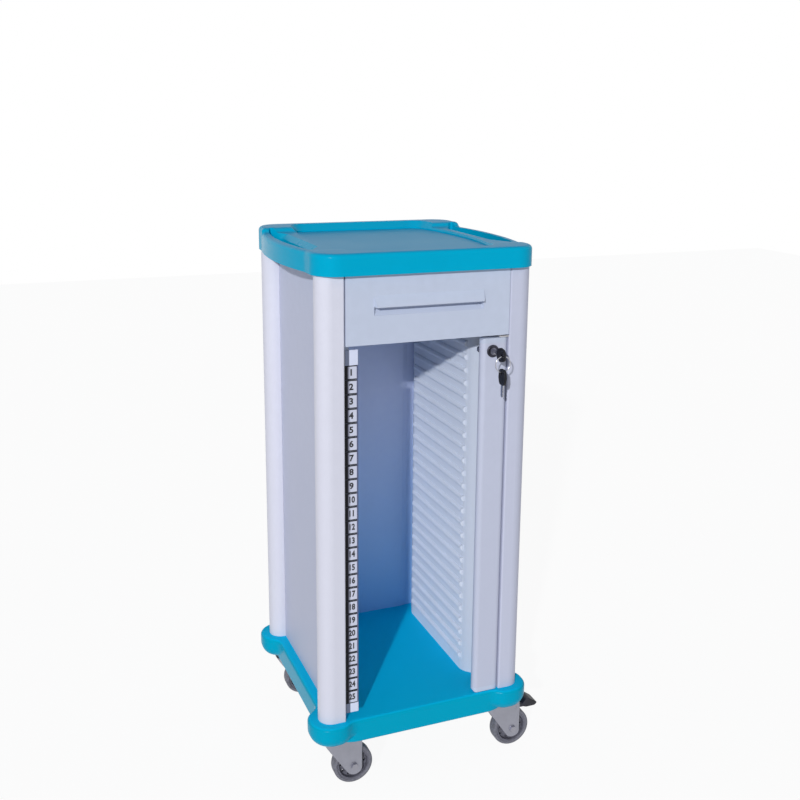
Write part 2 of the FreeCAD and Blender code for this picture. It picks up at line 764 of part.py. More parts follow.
# ---------------------------------------------------------------- front crossbar and label strip
def front_crossbar():
    """A folded channel under the drawer, open below, between the front columns."""
    y0 = -half_d + crossbar_set_back
    y1 = y0 + crossbar_depth
    z0, z1 = crossbar_low, crossbar_low + crossbar_height
    t = crossbar_sheet
    corners = [(y0, z0, 0), (y0 + t, z0, 0), (y0 + t, z1 - t, 0), (y1 - t, z1 - t, 0), (y1 - t, z0, 0),
               (y1, z0, 0), (y1, z1, 0), (y0, z1, 0)]
    return end_slab(corners, -inner_face, inner_face)


def label_strip():
    """An angle on the left column: the face carries the slot numbers."""
    x0 = -inner_face
    y0 = -half_d + strip_set_back
    face = block(x0, x0 + strip_width, y0, y0 + strip_thickness, strip_bottom, strip_top)
    flange = block(x0, x0 + strip_thickness, y0, y0 + strip_flange, strip_bottom, strip_top)
    bead_radius = strip_thickness / 2 + strip_bead
    bead = rod(bead_radius, (x0 + strip_width, y0 + bead_radius, strip_bottom), strip_top - strip_bottom)
    return fuse([face, flange, bead])


def slot_tags():
    """One printed tag for each slot, from the base up."""
    x0 = -inner_face + tag_edge
    x1 = -inner_face + strip_width - tag_margin
    y0 = -half_d + strip_set_back - tag_thickness
    tags = []
    for i in range(slot_count):
        z0 = tags_bottom + slot_pitch * i + tag_gap / 2
        tags.append(block(x0, x1, y0, y0 + tag_thickness, z0, z0 + slot_pitch - tag_gap))
    return Part.makeCompound(tags)


# ---------------------------------------------------------------- drawer
def drawer_front():
    """A moulded front with a pinched pull: a lip that stands out above a finger recess."""
    x1 = inner_face - drawer_gap
    y0, y1 = drawer_front_y, drawer_back_y
    z0, z1 = opening_top + drawer_gap, skirt_bottom - drawer_gap
    body = side_slab(rect(-x1, x1, z0, z1, drawer_front_corner), y0, y1)
    outer = pull_width / 2
    inner = outer - pull_taper
    bulge = Part.makeWedge(-inner, y0 - pull_out, pull_z, pull_z, -outer,
                           inner, y0, pull_z + pull_lip, pull_z + pull_rise, outer)
    recess = Part.makeWedge(-outer, y0, pull_z - pull_drop, pull_z - pull_throat, -inner,
                            outer, y0 + pull_in, pull_z, pull_z, inner)
    return fuse([body, bulge]).cut(recess)


def drawer_box():
    """A plain tray behind the drawer front."""
    y0, y1 = drawer_back_y, drawer_back_y + drawer_box_depth
    z0, z1 = drawer_floor, drawer_floor + drawer_box_height
    t = drawer_wall
    body = slab(rect(-box_half, box_half, y0, y1, drawer_box_corner), z0, z1)
    inside = rect(-box_half + t, box_half - t, y0 + t, y1 - t, drawer_box_corner - t)
    body = body.cut(slab(inside, z0 + t, z1))
    holes = [rod(drawer_screw_radius, (x, y0, z), t, Y_AXIS) for x, z in drawer_screw_places()]
    return body.cut(fuse(holes))


def drawer_screw_places():
    low = pull_z - pull_drop + pull_throat
    return [(x, z) for x in drawer_screw_x for z in (low, low + drawer_screw_rise)]


def drawer_screws():
    """Screws from inside the box into the drawer front."""
    screws = []
    for x, z in drawer_screw_places():
        shank = rod(drawer_screw_radius, (x, drawer_back_y - drawer_screw_reach, z),
                    drawer_screw_reach + drawer_wall, Y_AXIS)
        head = rod(drawer_screw_head, (x, drawer_back_y + drawer_wall, z), drawer_screw_head_height, Y_AXIS)
        screws.append(fuse([shank, head]))
    return Part.makeCompound(screws)


def runner_fixed_left():
    """The outer member: a channel on the columns, with lips that keep the slider in."""
    x0, x1 = -inner_face, -inner_face + runner_reach
    z0, z1 = runner_low, runner_low + runner_height
    t, lip = runner_sheet, runner_lip
    corners = [(x0, z0, 0), (x1, z0, 0), (x1, z0 + lip + t, 0), (x1 - t, z0 + lip + t, 0),
               (x1 - t, z0 + t, 0), (x0 + t, z0 + t, 0), (x0 + t, z1 - t, 0), (x1 - t, z1 - t, 0),
               (x1 - t, z1 - t - lip, 0), (x1, z1 - t - lip, 0), (x1, z1, 0), (x0, z1, 0)]
    return side_slab(corners, runner_front, runner_front + runner_length)


def runner_slider_left():
    """The inner member on the side of the box, captured in the channel."""
    z0, z1 = runner_low, runner_low + runner_height
    y0, y1 = drawer_back_y + slider_front, drawer_back_y + drawer_box_depth - slider_rear
    head_x0 = -inner_face + runner_sheet + runner_head_gap
    head_x1 = -inner_face + runner_reach - runner_sheet - clear
    foot = runner_sheet + clear
    neck = runner_sheet + runner_lip + runner_neck_gap
    corners = [(head_x0, z0 + foot, 0), (head_x1, z0 + foot, 0), (head_x1, z0 + neck, 0),
               (-box_half, z0 + neck, 0), (-box_half, z1 - neck, 0), (head_x1, z1 - neck, 0),
               (head_x1, z1 - foot, 0), (head_x0, z1 - foot, 0)]
    return side_slab(corners, y0, y1)


# ---------------------------------------------------------------- lock bar
def bar_section(inset, z0, z1):
    """The bar's plan, a slot shape; inset makes the same shape smaller all round."""
    radius = bar_radius - inset
    left, right = bar_left + bar_radius, hinge_x
    return fuse([rod(radius, (left, hinge_y, z0), z1 - z0), rod(radius, (right, hinge_y, z0), z1 - z0),
                 block(left, right, hinge_y - radius, hinge_y + radius, z0, z1)])


def lock_bar():
    """A hollow extrusion, round at both edges, open along the middle of its back."""
    z0, z1 = bar_bottom + cap_height, bar_top - cap_height
    body = bar_section(0, z0, z1).cut(bar_section(bar_wall, z0, z1))
    back_slot = block(bar_left + bar_radius + bar_slot_edge, hinge_x - bar_slot_hinge,
                      hinge_y, hinge_y + bar_depth, z0, z1)
    lock_hole = rod(barrel_radius, (lock_x, bar_front - 1, lock_z), bar_wall + 2, Y_AXIS)
    return body.cut(back_slot).cut(lock_hole)


def bar_cap(z0, z1, round_low):
    """An end plug whose outer corner is rounded as seen from the front."""
    body = bar_section(0, z0, z1)
    low, high = (cap_corner, 0) if round_low else (0, cap_corner)
    bar_right = hinge_x + bar_radius
    corners = [(bar_left, z0, low), (bar_right, z0, 0), (bar_right, z1, 0), (bar_left, z1, high)]
    shaped = body.common(side_slab(corners, bar_front - 1, bar_front + bar_depth + 1))
    return shaped.cut(rod(hinge_pin_radius, (hinge_x, hinge_y, z0), z1 - z0))


def lock_bar_caps():
    return Part.makeCompound([bar_cap(bar_bottom, bar_bottom + cap_height, True),
                              bar_cap(bar_top - cap_height, bar_top, False)])


def lock_bar_pins():
    """Two hinge pins on one upright axis, one at each end of the bar."""
    foot = base_top - bush_length + bush_floor
    lower = rod(hinge_pin_radius, (hinge_x, hinge_y, foot), bar_bottom + cap_height - foot)
    upper = rod(hinge_pin_radius, (hinge_x, hinge_y, bar_top - cap_height),
                cap_height + seam + hinge_plate - hinge_pin_free)
    return Part.makeCompound([lower, upper])


def hinge_bush():
    """The bush in the base that the lower pin turns in."""
    body = rod(bush_radius, (hinge_x, hinge_y, base_top - bush_length), bush_length)
    floor = base_top - bush_length + bush_floor
    return body.cut(rod(hinge_pin_radius + running, (hinge_x, hinge_y, floor), bush_length))


def lock_bar_hinge_plate():
    """A plate under the crossbar that reaches forward to the upper pin."""
    x0, x1 = inner_face - hinge_plate_width, inner_face
    y0, y1 = bar_front, crossbar_rear
    body = slab([(x0, y0, hinge_plate_corner), (x1, y0, 0), (x1, y1, 0), (x0, y1, 0)], hinge_plate_low,
                hinge_plate_low + hinge_plate)
    return body.cut(rod(hinge_pin_radius + running, (hinge_x, hinge_y, hinge_plate_low), hinge_plate))


def lock_keeper():
    """A strike plate on the crossbar that the cam turns up behind."""
    y0 = bar_back + keeper_gap
    x0, x1 = lock_x - keeper_width / 2, lock_x + keeper_width / 2
    low, high = lock_z + keeper_low, crossbar_low
    plate = side_slab([(x0, low, keeper_corner), (x1, low, keeper_corner), (x1, high, 0), (x0, high, 0)],
                      y0, y0 + keeper_thickness)
    shelf = block(x0, x1, y0, crossbar_rear, high - keeper_thickness, high)
    return fuse([plate, shelf])


def lock_housing():
    """The cam lock's barrel with its round bezel."""
    bezel = rod(bezel_radius, (lock_x, bar_front - bezel_height, lock_z), bezel_height, Y_AXIS)
    rim = edges_where(bezel, lambda e: abs(e.BoundBox.YMax - (bar_front - bezel_height)) < 1e-3
                      and abs(e.BoundBox.YMin - e.BoundBox.YMax) < 1e-3)
    bezel = bezel.makeFillet(bezel_round, rim)
    barrel = rod(barrel_radius, (lock_x, bar_front, lock_z), cam_front - clear - bar_front, Y_AXIS)
    bore = rod(plug_radius + running, (lock_x, bar_front - bezel_height, lock_z),
               bezel_height + cam_front - bar_front, Y_AXIS)
    return fuse([bezel, barrel]).cut(bore)


def lock_nut():
    body = hexagon(nut_flats, (lock_x, bar_front + bar_wall, lock_z), nut_height, Y_AXIS)
    return body.cut(rod(barrel_radius, (lock_x, bar_front + bar_wall, lock_z), nut_height, Y_AXIS))


def cam_square():
    """The square tail that turns the cam."""
    half = plug_tail / 2
    return block(lock_x - half, lock_x + half, cam_front, cam_front + cam_thickness,
                 lock_z - half, lock_z + half)


def lock_plug():
    """The turning core, with the keyway in its face and a square tail for the cam."""
    front = bar_front - bezel_height - plug_stand
    core = rod(plug_radius, (lock_x, front, lock_z), cam_front - front, Y_AXIS)
    keyway = block(lock_x - blade_thickness / 2, lock_x + blade_thickness / 2,
                   front, bow_root + blade_length + clear,
                   lock_z - keyway_height / 2, lock_z + keyway_height / 2)
    return fuse([core, cam_square()]).cut(keyway)


def lock_cam():
    """The cam points to the bar's free edge when the lock is open, and up when it is locked."""
    root, corner = cam_root, cam_root - cam_edge
    corners = [(lock_x + root, lock_z - root, corner), (lock_x + root, lock_z + root, corner),
               (lock_x - cam_length, lock_z + cam_tip + 1, cam_tip),
               (lock_x - cam_length, lock_z - cam_tip - 1, cam_tip)]
    return side_slab(corners, cam_front, cam_front + cam_thickness).cut(cam_square())


def cam_screw():
    return hexagon(cam_screw_flats, (lock_x, cam_front + cam_thickness, lock_z), cam_screw_height, Y_AXIS)


def key_blade_shape():
    """A flat blade with a row of cuts, pointing along +Y from the origin."""
    half = blade_height / 2
    end = blade_length
    lower = []
    for y, depth in blade_cuts:
        lower += [(y - cut_foot, -half, 0), (y - cut_flat, depth - half, 0),
                  (y + cut_flat, depth - half, 0), (y + cut_foot, -half, 0)]
    corners = [(-blade_root, -half, 0)] + lower + [(end - blade_nose, -half, 0), (end, -blade_nose / 3, 0),
                                                   (end, blade_nose / 3, 0), (end - blade_nose, half, 0),
                                                   (-blade_root, half, 0)]
    face = outline(corners, lambda y, z: (blade_fit - blade_thickness / 2, y, z))
    return face.extrude(Vector(blade_thickness - 2 * blade_fit, 0, 0))


def key_bow_shape():
    """The moulded grip: a rounded plate with a ring hole near its outer end, along -Y from the origin."""
    half, waist = bow_height / 2, bow_length * bow_widest
    corners = [(0, -half + bow_shoulder, bow_corner), (0, half - bow_shoulder, bow_corner),
               (-waist, half, bow_side), (-bow_length, half - bow_tip, bow_corner),
               (-bow_length, bow_tip - half, bow_corner), (-waist, -half, bow_side)]
    face = outline(corners, lambda y, z: (-bow_thickness / 2, y, z))
    body = face.extrude(Vector(bow_thickness, 0, 0))
    faces = [edge for edge in body.Edges if abs(abs(edge.BoundBox.XMin) - bow_thickness / 2) < 1e-3
             and abs(edge.BoundBox.XMin - edge.BoundBox.XMax) < 1e-3]
    body = body.makeFillet(bow_edge, faces)
    hole = rod(hole_radius, (-bow_thickness, hole_from_end - bow_length, 0), 2 * bow_thickness, X_AXIS)
    body = body.cut(hole)
    flat = blade_thickness / 2 - blade_fit
    socket = block(-flat, flat, -blade_root, 1, -blade_height / 2, blade_height / 2)
    return body.cut(socket)


def lock_key_blade():
    return moved(key_blade_shape(), lock_x, bow_root, lock_z)


def lock_key_bow():
    return moved(key_bow_shape(), lock_x, bow_root, lock_z)


def key_ring():
    """A wire ring through the key's bow, hanging in line with the front of the rack."""
    return Part.makeTorus(ring_radius, ring_wire, Vector(lock_x, ring_y, ring_centre), Y_AXIS)


def hung(shape):
    """Turn a key so that its blade points down and its ring hole sits on the ring."""
    copy = shape.copy()
    copy.rotate(Vector(0, 0, 0), X_AXIS, -90)
    copy.translate(Vector(lock_x, ring_y, spare_hole - (bow_length - hole_from_end)))
    return copy


# ---------------------------------------------------------------- casters, about the swivel axis
def caster_mount():
    """The fixed half: a plate on the base, a stem up into the column and a kingpin down."""
    plate = rod(mount_radius, (0, 0, caster_height - mount_plate), mount_plate)
    stem = rod(stem_radius, (0, 0, caster_height), base_thickness + stem_reach)
    kingpin_low = crown_low + kingpin_free
    kingpin = rod(stem_radius, (0, 0, kingpin_low), caster_height - kingpin_low)
    return fuse([plate, stem, kingpin])


def cheek_outline():
    """A cheek from the side: a round end about the axle, drawn up to the crown along its tangents."""
    top = crown_top - race_height
    front = Vector(-cheek_front - caster_trail, 0, top - wheel_radius)
    turn = math.atan2(front.z, front.x) + math.acos(cheek_boss / front.Length)
    tangent_x = caster_trail + cheek_boss * math.cos(turn)
    tangent_z = wheel_radius + cheek_boss * math.sin(turn)
    rear = caster_trail + cheek_boss
    corners = [(-cheek_front, top, 0), (tangent_x, tangent_z, 0), (caster_trail, wheel_radius, 0),
               (rear, wheel_radius, 0), (rear, top, fork_edge)]
    half = fork_width / 2
    boss = rod(cheek_boss, (caster_trail, -half, wheel_radius), fork_width, Y_AXIS)
    return fuse([side_slab(corners, -half, half), boss])


def caster_fork():
    """A hood with two tapering cheeks, cut out for the wheel, and a race on top."""
    top = crown_top - race_height
    half = fork_width / 2
    rear = caster_trail + cheek_boss
    plan = slab([(-cheek_front, -half, fork_front_corner), (rear, -half, fork_rear_corner),
                 (rear, half, fork_rear_corner), (-cheek_front, half, fork_front_corner)], 0, top)
    body = cheek_outline().common(plan)
    body = body.cut(block(-cheek_front, rear, -fork_gap / 2, fork_gap / 2, 0, crown_low))
    body = fuse([body, rod(race_radius, (0, 0, crown_low), crown_top - crown_low)])
    body = body.cut(rod(stem_radius + running, (0, 0, crown_low), crown_top - crown_low))
    return body.cut(rod(axle_radius, (caster_trail, -half, wheel_radius), fork_width, Y_AXIS))


def caster_axle():
    """A bolt through the cheeks with a hexagon head and nut."""
    half = fork_width / 2
    shank = rod(axle_radius, (caster_trail, -half, wheel_radius), fork_width, Y_AXIS)
    height = axle_head_height
    head = hexagon(axle_head, (caster_trail, -half - height, wheel_radius), height, Y_AXIS)
    nut = hexagon(axle_head, (caster_trail, half, wheel_radius), height, Y_AXIS)
    return fuse([shank, head, nut])


def turned(profile):
    """A solid of revolution about the axle from (distance along the axle, radius) points."""
    points = [Vector(caster_trail, u, wheel_radius + r) for u, r in profile]
    face = Part.Face(Part.makePolygon(points + [points[0]]))
    return face.revolve(Vector(caster_trail, 0, wheel_radius), Y_AXIS, 360)


def caster_hub():
    """A hub with a thick nave, a thin web with round windows and a flanged rim."""
    bore = axle_radius + running
    nave = axle_radius + hub_nave
    half = fork_gap / 2 - clear
    web, rim = hub_web, hub_rim
    inside = hub_radius - hub_flange
    body = turned([(-half, bore), (half, bore), (half, nave), (web, nave + 1), (web, inside - 1),
                   (rim, inside), (rim, hub_radius), (-rim, hub_radius), (-rim, inside),
                   (-web, inside - 1), (-web, nave + 1), (-half, nave)])
    circle = hub_radius - hub_window_inset
    windows = []
    for i in range(hub_window_count):
        angle = 2 * math.pi * i / hub_window_count
        x = caster_trail + circle * math.cos(angle)
        z = wheel_radius + circle * math.sin(angle)
        windows.append(rod(hub_window, (x, -web, z), 2 * web, Y_AXIS))
    return body.cut(fuse(windows))


def caster_tread():
    """A solid tyre with rounded shoulders."""
    half, lip = wheel_width / 2, tread_lip
    corners = [(-half + lip, hub_radius, 0), (half - lip, hub_radius, 0), (half, hub_radius + lip, 0),
               (half, wheel_radius, wheel_shoulder), (-half, wheel_radius, wheel_shoulder),
               (-half, hub_radius + lip, 0)]
    face = outline(corners, lambda u, r: (caster_trail, u, wheel_radius + r))
    return face.revolve(Vector(caster_trail, 0, wheel_radius), Y_AXIS, 360)


def brake_pedal():
    """A foot pedal that pivots in the fork's crown and stands out behind the wheel."""
    half = fork_gap / 2 - clear
    arm_low = pedal_pivot_z - pedal_arm / 2
    arm_high = pedal_pivot_z + pedal_arm / 2
    heel = pedal_tip - pedal_length
    low = pedal_top - pedal_depth
    front = pedal_pivot_x - pedal_heel
    corners = [(front, arm_low, 2.4), (heel + 3, arm_low, 2), (heel + 10, low, 3),
               (pedal_tip - 6, low, 3), (pedal_tip, low + 5, 2), (pedal_tip - 9, pedal_top - 7, 7),
               (pedal_tip - 19, pedal_top, 9), (heel + 8, pedal_top - 2, 7), (heel + 1, arm_high, 3),
               (front, arm_high, 2.4)]
    body = side_slab(corners, -half, half)
    bore = rod(pedal_pin_radius + running, (pedal_pivot_x, -half, pedal_pivot_z), 2 * half, Y_AXIS)
    return body.cut(bore)


def pedal_pin():
    """The pin that carries the pedal, fixed in both cheeks."""
    half = fork_width / 2
    return rod(pedal_pin_radius, (pedal_pivot_x, -half - pedal_pin_stand, pedal_pivot_z),
               fork_width + 2 * pedal_pin_stand, Y_AXIS)


def pedal_room():
    """The part of a braked fork's crown that is cut away for the pedal."""
    half = fork_gap / 2
    return block(caster_trail - relief_front, pedal_tip, -half, half, crown_low - 1,
                 crown_top - race_height - relief_roof)


# ---------------------------------------------------------------- all pieces
def at_corner(shape, sx, sy):
    """Casters keep their trail to +X at every corner, so they are moved and not mirrored."""
    return moved(shape, sx * swivel_x, sy * swivel_y)


corners_of_rack = {
    "front_left": (-1, -1),
    "front_right": (1, -1),
    "rear_left": (-1, 1),
    "rear_right": (1, 1),
}
braked = ("front_right", "rear_left")


def build_pieces():
    pieces = {}
    column = column_front_left()
    pieces["column_front_left"] = column
    pieces["column_front_right"] = mirror_x(column)
    pieces["column_rear_left"] = mirror_y(column)
    pieces["column_rear_right"] = mirror_x(mirror_y(column))
    pieces["side_panel_left"] = side_panel_left()
    pieces["side_panel_right"] = mirror_x(side_panel_left())
    pieces["back_panel"] = back_panel()
    liner = slot_liner_left()
    pieces["slot_liner_left"] = liner
    pieces["slot_liner_right"] = mirror_x(liner)
    pieces["base_tray"] = base_tray()
    pieces["top_tray"] = top_tray().cut(tray_screws())
    pieces["top_rails"] = Part.makeCompound([top_rail(front_rail_y), top_rail(rear_rail_y)])
    pieces["tray_screws"] = tray_screws()
    pieces["front_crossbar"] = front_crossbar()
    pieces["label_strip"] = label_strip()
    pieces["slot_tags"] = slot_tags()
    pieces["runner_fixed_left"] = runner_fixed_left()
    pieces["runner_fixed_right"] = mirror_x(runner_fixed_left())
    pieces["drawer_front"] = drawer_front().cut(drawer_screws())
    pieces["drawer_box"] = drawer_box()
    pieces["drawer_screws"] = drawer_screws()
    pieces["runner_slider_left"] = runner_slider_left()
    pieces["runner_slider_right"] = mirror_x(runner_slider_left())
    pieces["lock_bar"] = lock_bar()
    pieces["lock_bar_caps"] = lock_bar_caps()
    pieces["lock_bar_pins"] = lock_bar_pins()
    pieces["lock_bar_bush"] = hinge_bush()
    pieces["lock_bar_hinge_plate"] = lock_bar_hinge_plate()
    pieces["lock_keeper"] = lock_keeper()
    pieces["lock_housing"] = lock_housing()
    pieces["lock_nut"] = lock_nut()
    pieces["lock_plug"] = lock_plug()
    pieces["lock_cam"] = lock_cam()
    pieces["cam_screw"] = cam_screw()
    pieces["lock_key_blade"] = lock_key_blade()
    pieces["lock_key_bow"] = lock_key_bow()
    pieces["key_ring"] = key_ring()
    pieces["spare_key_blade"] = hung(key_blade_shape())
    pieces["spare_key_bow"] = hung(key_bow_shape())
    mounts = []
    for name, (sx, sy) in corners_of_rack.items():
        mounts.append(at_corner(caster_mount(), sx, sy))
        pieces["caster_fork_" + name] = at_corner(caster_fork(), sx, sy)
        pieces["caster_axle_" + name] = at_corner(caster_axle(), sx, sy)
        pieces["caster_hub_" + name] = at_corner(caster_hub(), sx, sy)
        pieces["caster_tread_" + name] = at_corner(caster_tread(), sx, sy)
        if name in braked:
            room = at_corner(fuse([pedal_room(), pedal_pin()]), sx, sy)
            pieces["caster_fork_" + name] = pieces["caster_fork_" + name].cut(room)
            pieces["brake_pin_" + name] = at_corner(pedal_pin(), sx, sy)
            pieces["brake_pedal_" + name] = at_corner(brake_pedal(), sx, sy)
    pieces["caster_mounts"] = Part.makeCompound(mounts)
    return pieces


# The footprint's middle, from the sizes that set its four sides.
footprint_left = -half_w - tray_side_overhang - grip_bulge
footprint_right = swivel_x + pedal_tip
footprint_front = ring_y - bow_height / 2
footprint_rear = half_d + lobe_overhang
origin_x = (footprint_left + footprint_right) / 2
origin_y = (footprint_front + footprint_rear) / 2


def main():
    os.makedirs("parts", exist_ok=True)
    for name, shape in build_pieces().items():
        placed = moved(shape, -origin_x, -origin_y)
        if not placed.isValid():
            print("not valid:", name)
        placed.exportStep("parts/" + name + ".step")
        box = placed.BoundBox
        print(f"{name:28s} solids {len(placed.Solids):2d} volume {placed.Volume:10.1f} "
              f"x {box.XMin:7.1f} {box.XMax:7.1f} y {box.YMin:7.1f} {box.YMax:7.1f} "
              f"z {box.ZMin:6.1f} {box.ZMax:6.1f}")


if __name__ == "__main__":
    main()
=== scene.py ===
"""Looks of a medical chart rack: its finishes, its printed slot numbers and a studio.

Run as a script in Blender 4.5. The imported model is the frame, and every piece here rides on one of
its bodies. All sizes are in metres, in the frame's own axes: X to the right, Y to the rear, Z up.
"""

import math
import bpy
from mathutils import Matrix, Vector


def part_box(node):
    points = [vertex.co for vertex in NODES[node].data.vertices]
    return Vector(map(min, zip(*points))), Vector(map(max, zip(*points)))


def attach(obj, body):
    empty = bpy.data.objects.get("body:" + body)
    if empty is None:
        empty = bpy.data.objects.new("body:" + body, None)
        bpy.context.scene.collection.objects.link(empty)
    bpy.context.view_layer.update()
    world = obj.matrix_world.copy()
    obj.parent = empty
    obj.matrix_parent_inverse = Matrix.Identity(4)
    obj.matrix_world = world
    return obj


bl_info = {
    "name": "Chart rack finishes",
    "version": (1, 0, 0),
    "blender": (4, 5, 0),
    "location": "View3D > Sidebar > Chart rack",
    "description": "Dresses the packed chart rack with finishes, slot numbers and a studio",
    "category": "Object",
}

import bmesh
import bpy
from bpy.props import FloatProperty, FloatVectorProperty, IntProperty, PointerProperty
from mathutils import Matrix, Vector

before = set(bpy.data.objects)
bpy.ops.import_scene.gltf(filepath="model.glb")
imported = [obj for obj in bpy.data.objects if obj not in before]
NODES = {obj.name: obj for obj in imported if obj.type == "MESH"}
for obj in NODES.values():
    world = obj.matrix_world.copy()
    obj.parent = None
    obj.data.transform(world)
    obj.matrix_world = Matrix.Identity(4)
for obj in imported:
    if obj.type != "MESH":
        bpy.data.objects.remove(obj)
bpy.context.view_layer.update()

# Layout of the slot numbers and their tags.
DIGIT_SHARE = 0.7           # height of a digit as a share of the font's size
DIGIT_BOLDNESS = 0.055      # how far an outline is swollen, as a share of the digit's height
DIGIT_PLACE = 0.56          # middle of a number across its tag, from the column's side
TWO_DIGIT_WIDTH = 0.8       # numbers of two digits are narrower
LAST_SINGLE_DIGIT = 9
TAG_SHADE_DEPTH = 0.8       # how far the shade beside the tags' black band covers the sheet

# Studio.
FLOOR_REACH = 6.0           # from the floor's middle to its edges
FLOOR_DROP = 0.0005         # the floor lies just under the wheels
FLOOR_WHITE = 0.93          # share of plain white in the floor where it is seen; the rest shows the shadow
FRAME_WIDTH = 36.0          # width of the camera's frame, in millimetres
CLOSEST_SEEN = 0.05         # nearest distance that the camera shows


# ---------------------------------------------------------------- settings
def linear(red, green, blue):
    """A screen colour, 0 to 255, as the linear colour that shaders take."""
    channels = []
    for value in (red, green, blue):
        value /= 255
        channels.append(value / 12.92 if value <= 0.04045 else ((value + 0.055) / 1.055) ** 2.4)
    return tuple(channels)


def colour(name, description, *screen_colour):
    """A colour setting, given as it shows on a screen, 0 to 255 a channel."""
    return FloatVectorProperty(name=name, description=description, subtype="COLOR", size=3, min=0, max=1,
                               default=linear(*screen_colour))


def length(name, description, default, least, most):
    """A size setting in metres."""
    return FloatProperty(name=name, description=description, default=default, min=least, max=most,
                         unit="LENGTH", subtype="DISTANCE")


def limits(name, description, full, over):
    """A setting for the border of a finish: the distance where it is full, and the one where it is over."""
    return FloatVectorProperty(name=name, description=description, size=2, unit="LENGTH",
                               default=(full, over))


def angle(name, description, degrees):
    """An angle setting, given in degrees."""
    return FloatProperty(name=name, description=description, subtype="ANGLE", default=math.radians(degrees))


class RackColours(bpy.types.PropertyGroup):
    """Finish colours of the rack, and colours of painted light and shade laid over some finishes."""
    tray: colour("Top tray", "Moulded top tray", 0, 166, 204)
    # Painted shade: a darker copy of the top tray's own colour on its faces that look up; the plastic is one
    # colour.
    tray_top: colour("Work surface", "Top tray where it looks up", 0, 138, 183)
    base: colour("Base tray", "Moulded base tray", 0, 157, 190)
    # Painted light: a paler copy of the base tray's own colour on its faces that look up; the plastic is one
    # colour.
    floor: colour("Base floor", "Base tray where it looks up", 0, 189, 236)
    column: colour("Columns", "Coated columns on the left", 216, 217, 231)
    # Painted shade: a greyer copy of the column coat for the columns on the lock side, where less light
    # falls; all columns share one coat.
    lock_column: colour("Lock-side columns", "Greyer coat of the columns on the lock side", 195, 199, 219)
    panel: colour("Panels", "Coated side panels", 197, 202, 224)
    # Painted light: the inside of the back panel is paler and bluer than its coat, standing in for light
    # bounced from the teal base tray.
    back: colour("Back", "Coated back panel, inside", 210, 222, 255)
    # Painted shade with painted blue bounce light from the teal base tray, deepening towards the back
    # panel's foot.
    back_foot: colour("Back foot", "Inside of the back panel near its foot", 130, 188, 244)
    liner: colour("Liners", "Ribbed slot walls", 222, 230, 245)
    # Painted shade: a darker copy of the liner colour on the slot walls' front lips; the liners are one
    # plastic.
    liner_lip: colour("Liner lips", "Front lips of the slot walls", 196, 204, 220)
    drawer: colour("Drawer", "Moulded drawer front and bar caps", 190, 199, 219)
    bar: colour("Lock bar", "Coated lock bar", 191, 196, 216)
    tag: colour("Tags", "Slot number tags", 204, 208, 226)
    tag_shade: colour("Tag shade", "Shade beside the black band of the tags", 92, 92, 112)
    strip: colour("Tag strip", "Strip above and below the tags", 214, 220, 242)
    # Painted shadow: the column's shadow on the strip beside it.
    strip_side: colour("Strip side", "Strip next to the column", 92, 100, 122)
    strip_bead: colour("Strip bead", "Dark bead beside the tags", 84, 92, 126)
    ink: colour("Ink", "Printed numbers and tag borders", 10, 10, 16)
    tread: colour("Tread", "Wheel tread", 106, 106, 116)
    hub: colour("Hub", "Wheel hub", 92, 92, 104)
    key: colour("Key grips", "Black moulded key grips and pedals", 11, 11, 20)
    key_plate: colour("Key plate", "Bright plating of keys, ring, pins and cam", 190, 190, 196)
    plug_plate: colour("Plug plate", "Plating of the lock plug", 128, 130, 146)
    lock_face: colour("Lock face", "Dark plating of the lock body", 70, 70, 80)
    fork_plate: colour("Fork plate", "Zinc of the caster forks", 156, 157, 168)
    bolt_plate: colour("Bolt plate", "Zinc of axles, pins and mounting plates", 158, 158, 168)
    sheet_plate: colour("Sheet plate", "Zinc of rails, runners and screws", 176, 178, 186)


class RackSizes(bpy.types.PropertyGroup):
    """Sizes of the printing, and of the places where one finish gives way to another, or to painted shade.
    """
    slot_count: IntProperty(name="Slots", description="How many slots are numbered", default=25,
                            min=1, max=60)
    slot_pitch: length("Slot pitch", "Height of one slot", 0.025, 0.01, 0.06)
    digit_height: length("Digit height", "Height of a slot number", 0.0106, 0.005, 0.02)
    digit_thickness: length("Ink thickness", "Thickness of the printed digits", 0.00006, 0.00001, 0.001)
    tag_band: limits("Tag band", "Black band, from the tags' column side", 0.0056, 0.0078)
    tag_shade: limits("Tag shade", "Shade beside the band, from the tags' column side", 0.0074, 0.0110)
    tag_line: limits("Tag line", "Black line between tags, from a tag's middle up and down", 0.0107, 0.01025)
    # Painted shadow of the column on the strip, from the tags' column side.
    strip_side: limits("Strip side", "Grey of the strip, from the tags' column side", 0.0086, 0.0096)
    strip_bead: limits("Strip bead", "Dark bead, from the tags' column side", 0.0222, 0.0216)
    strip_end: limits("Strip end", "Dark bead, past the lowest and the highest tag", 0.0, 0.0005)
    # Painted shade: height over which the inside of the back panel darkens to its foot.
    back_fade: length("Back fade", "Height over which the back panel's inside deepens to its foot",
                      0.5, 0.05, 1.0)
    back_skin: limits("Back skin", "Plain outer coat, from the back panel's rear face", 0.0033, 0.0038)
    # Painted shade on the liners' front lips, from their front edge.
    liner_lip: limits("Liner lip", "Lip of the slot walls, from their front edge", 0.056, 0.070)


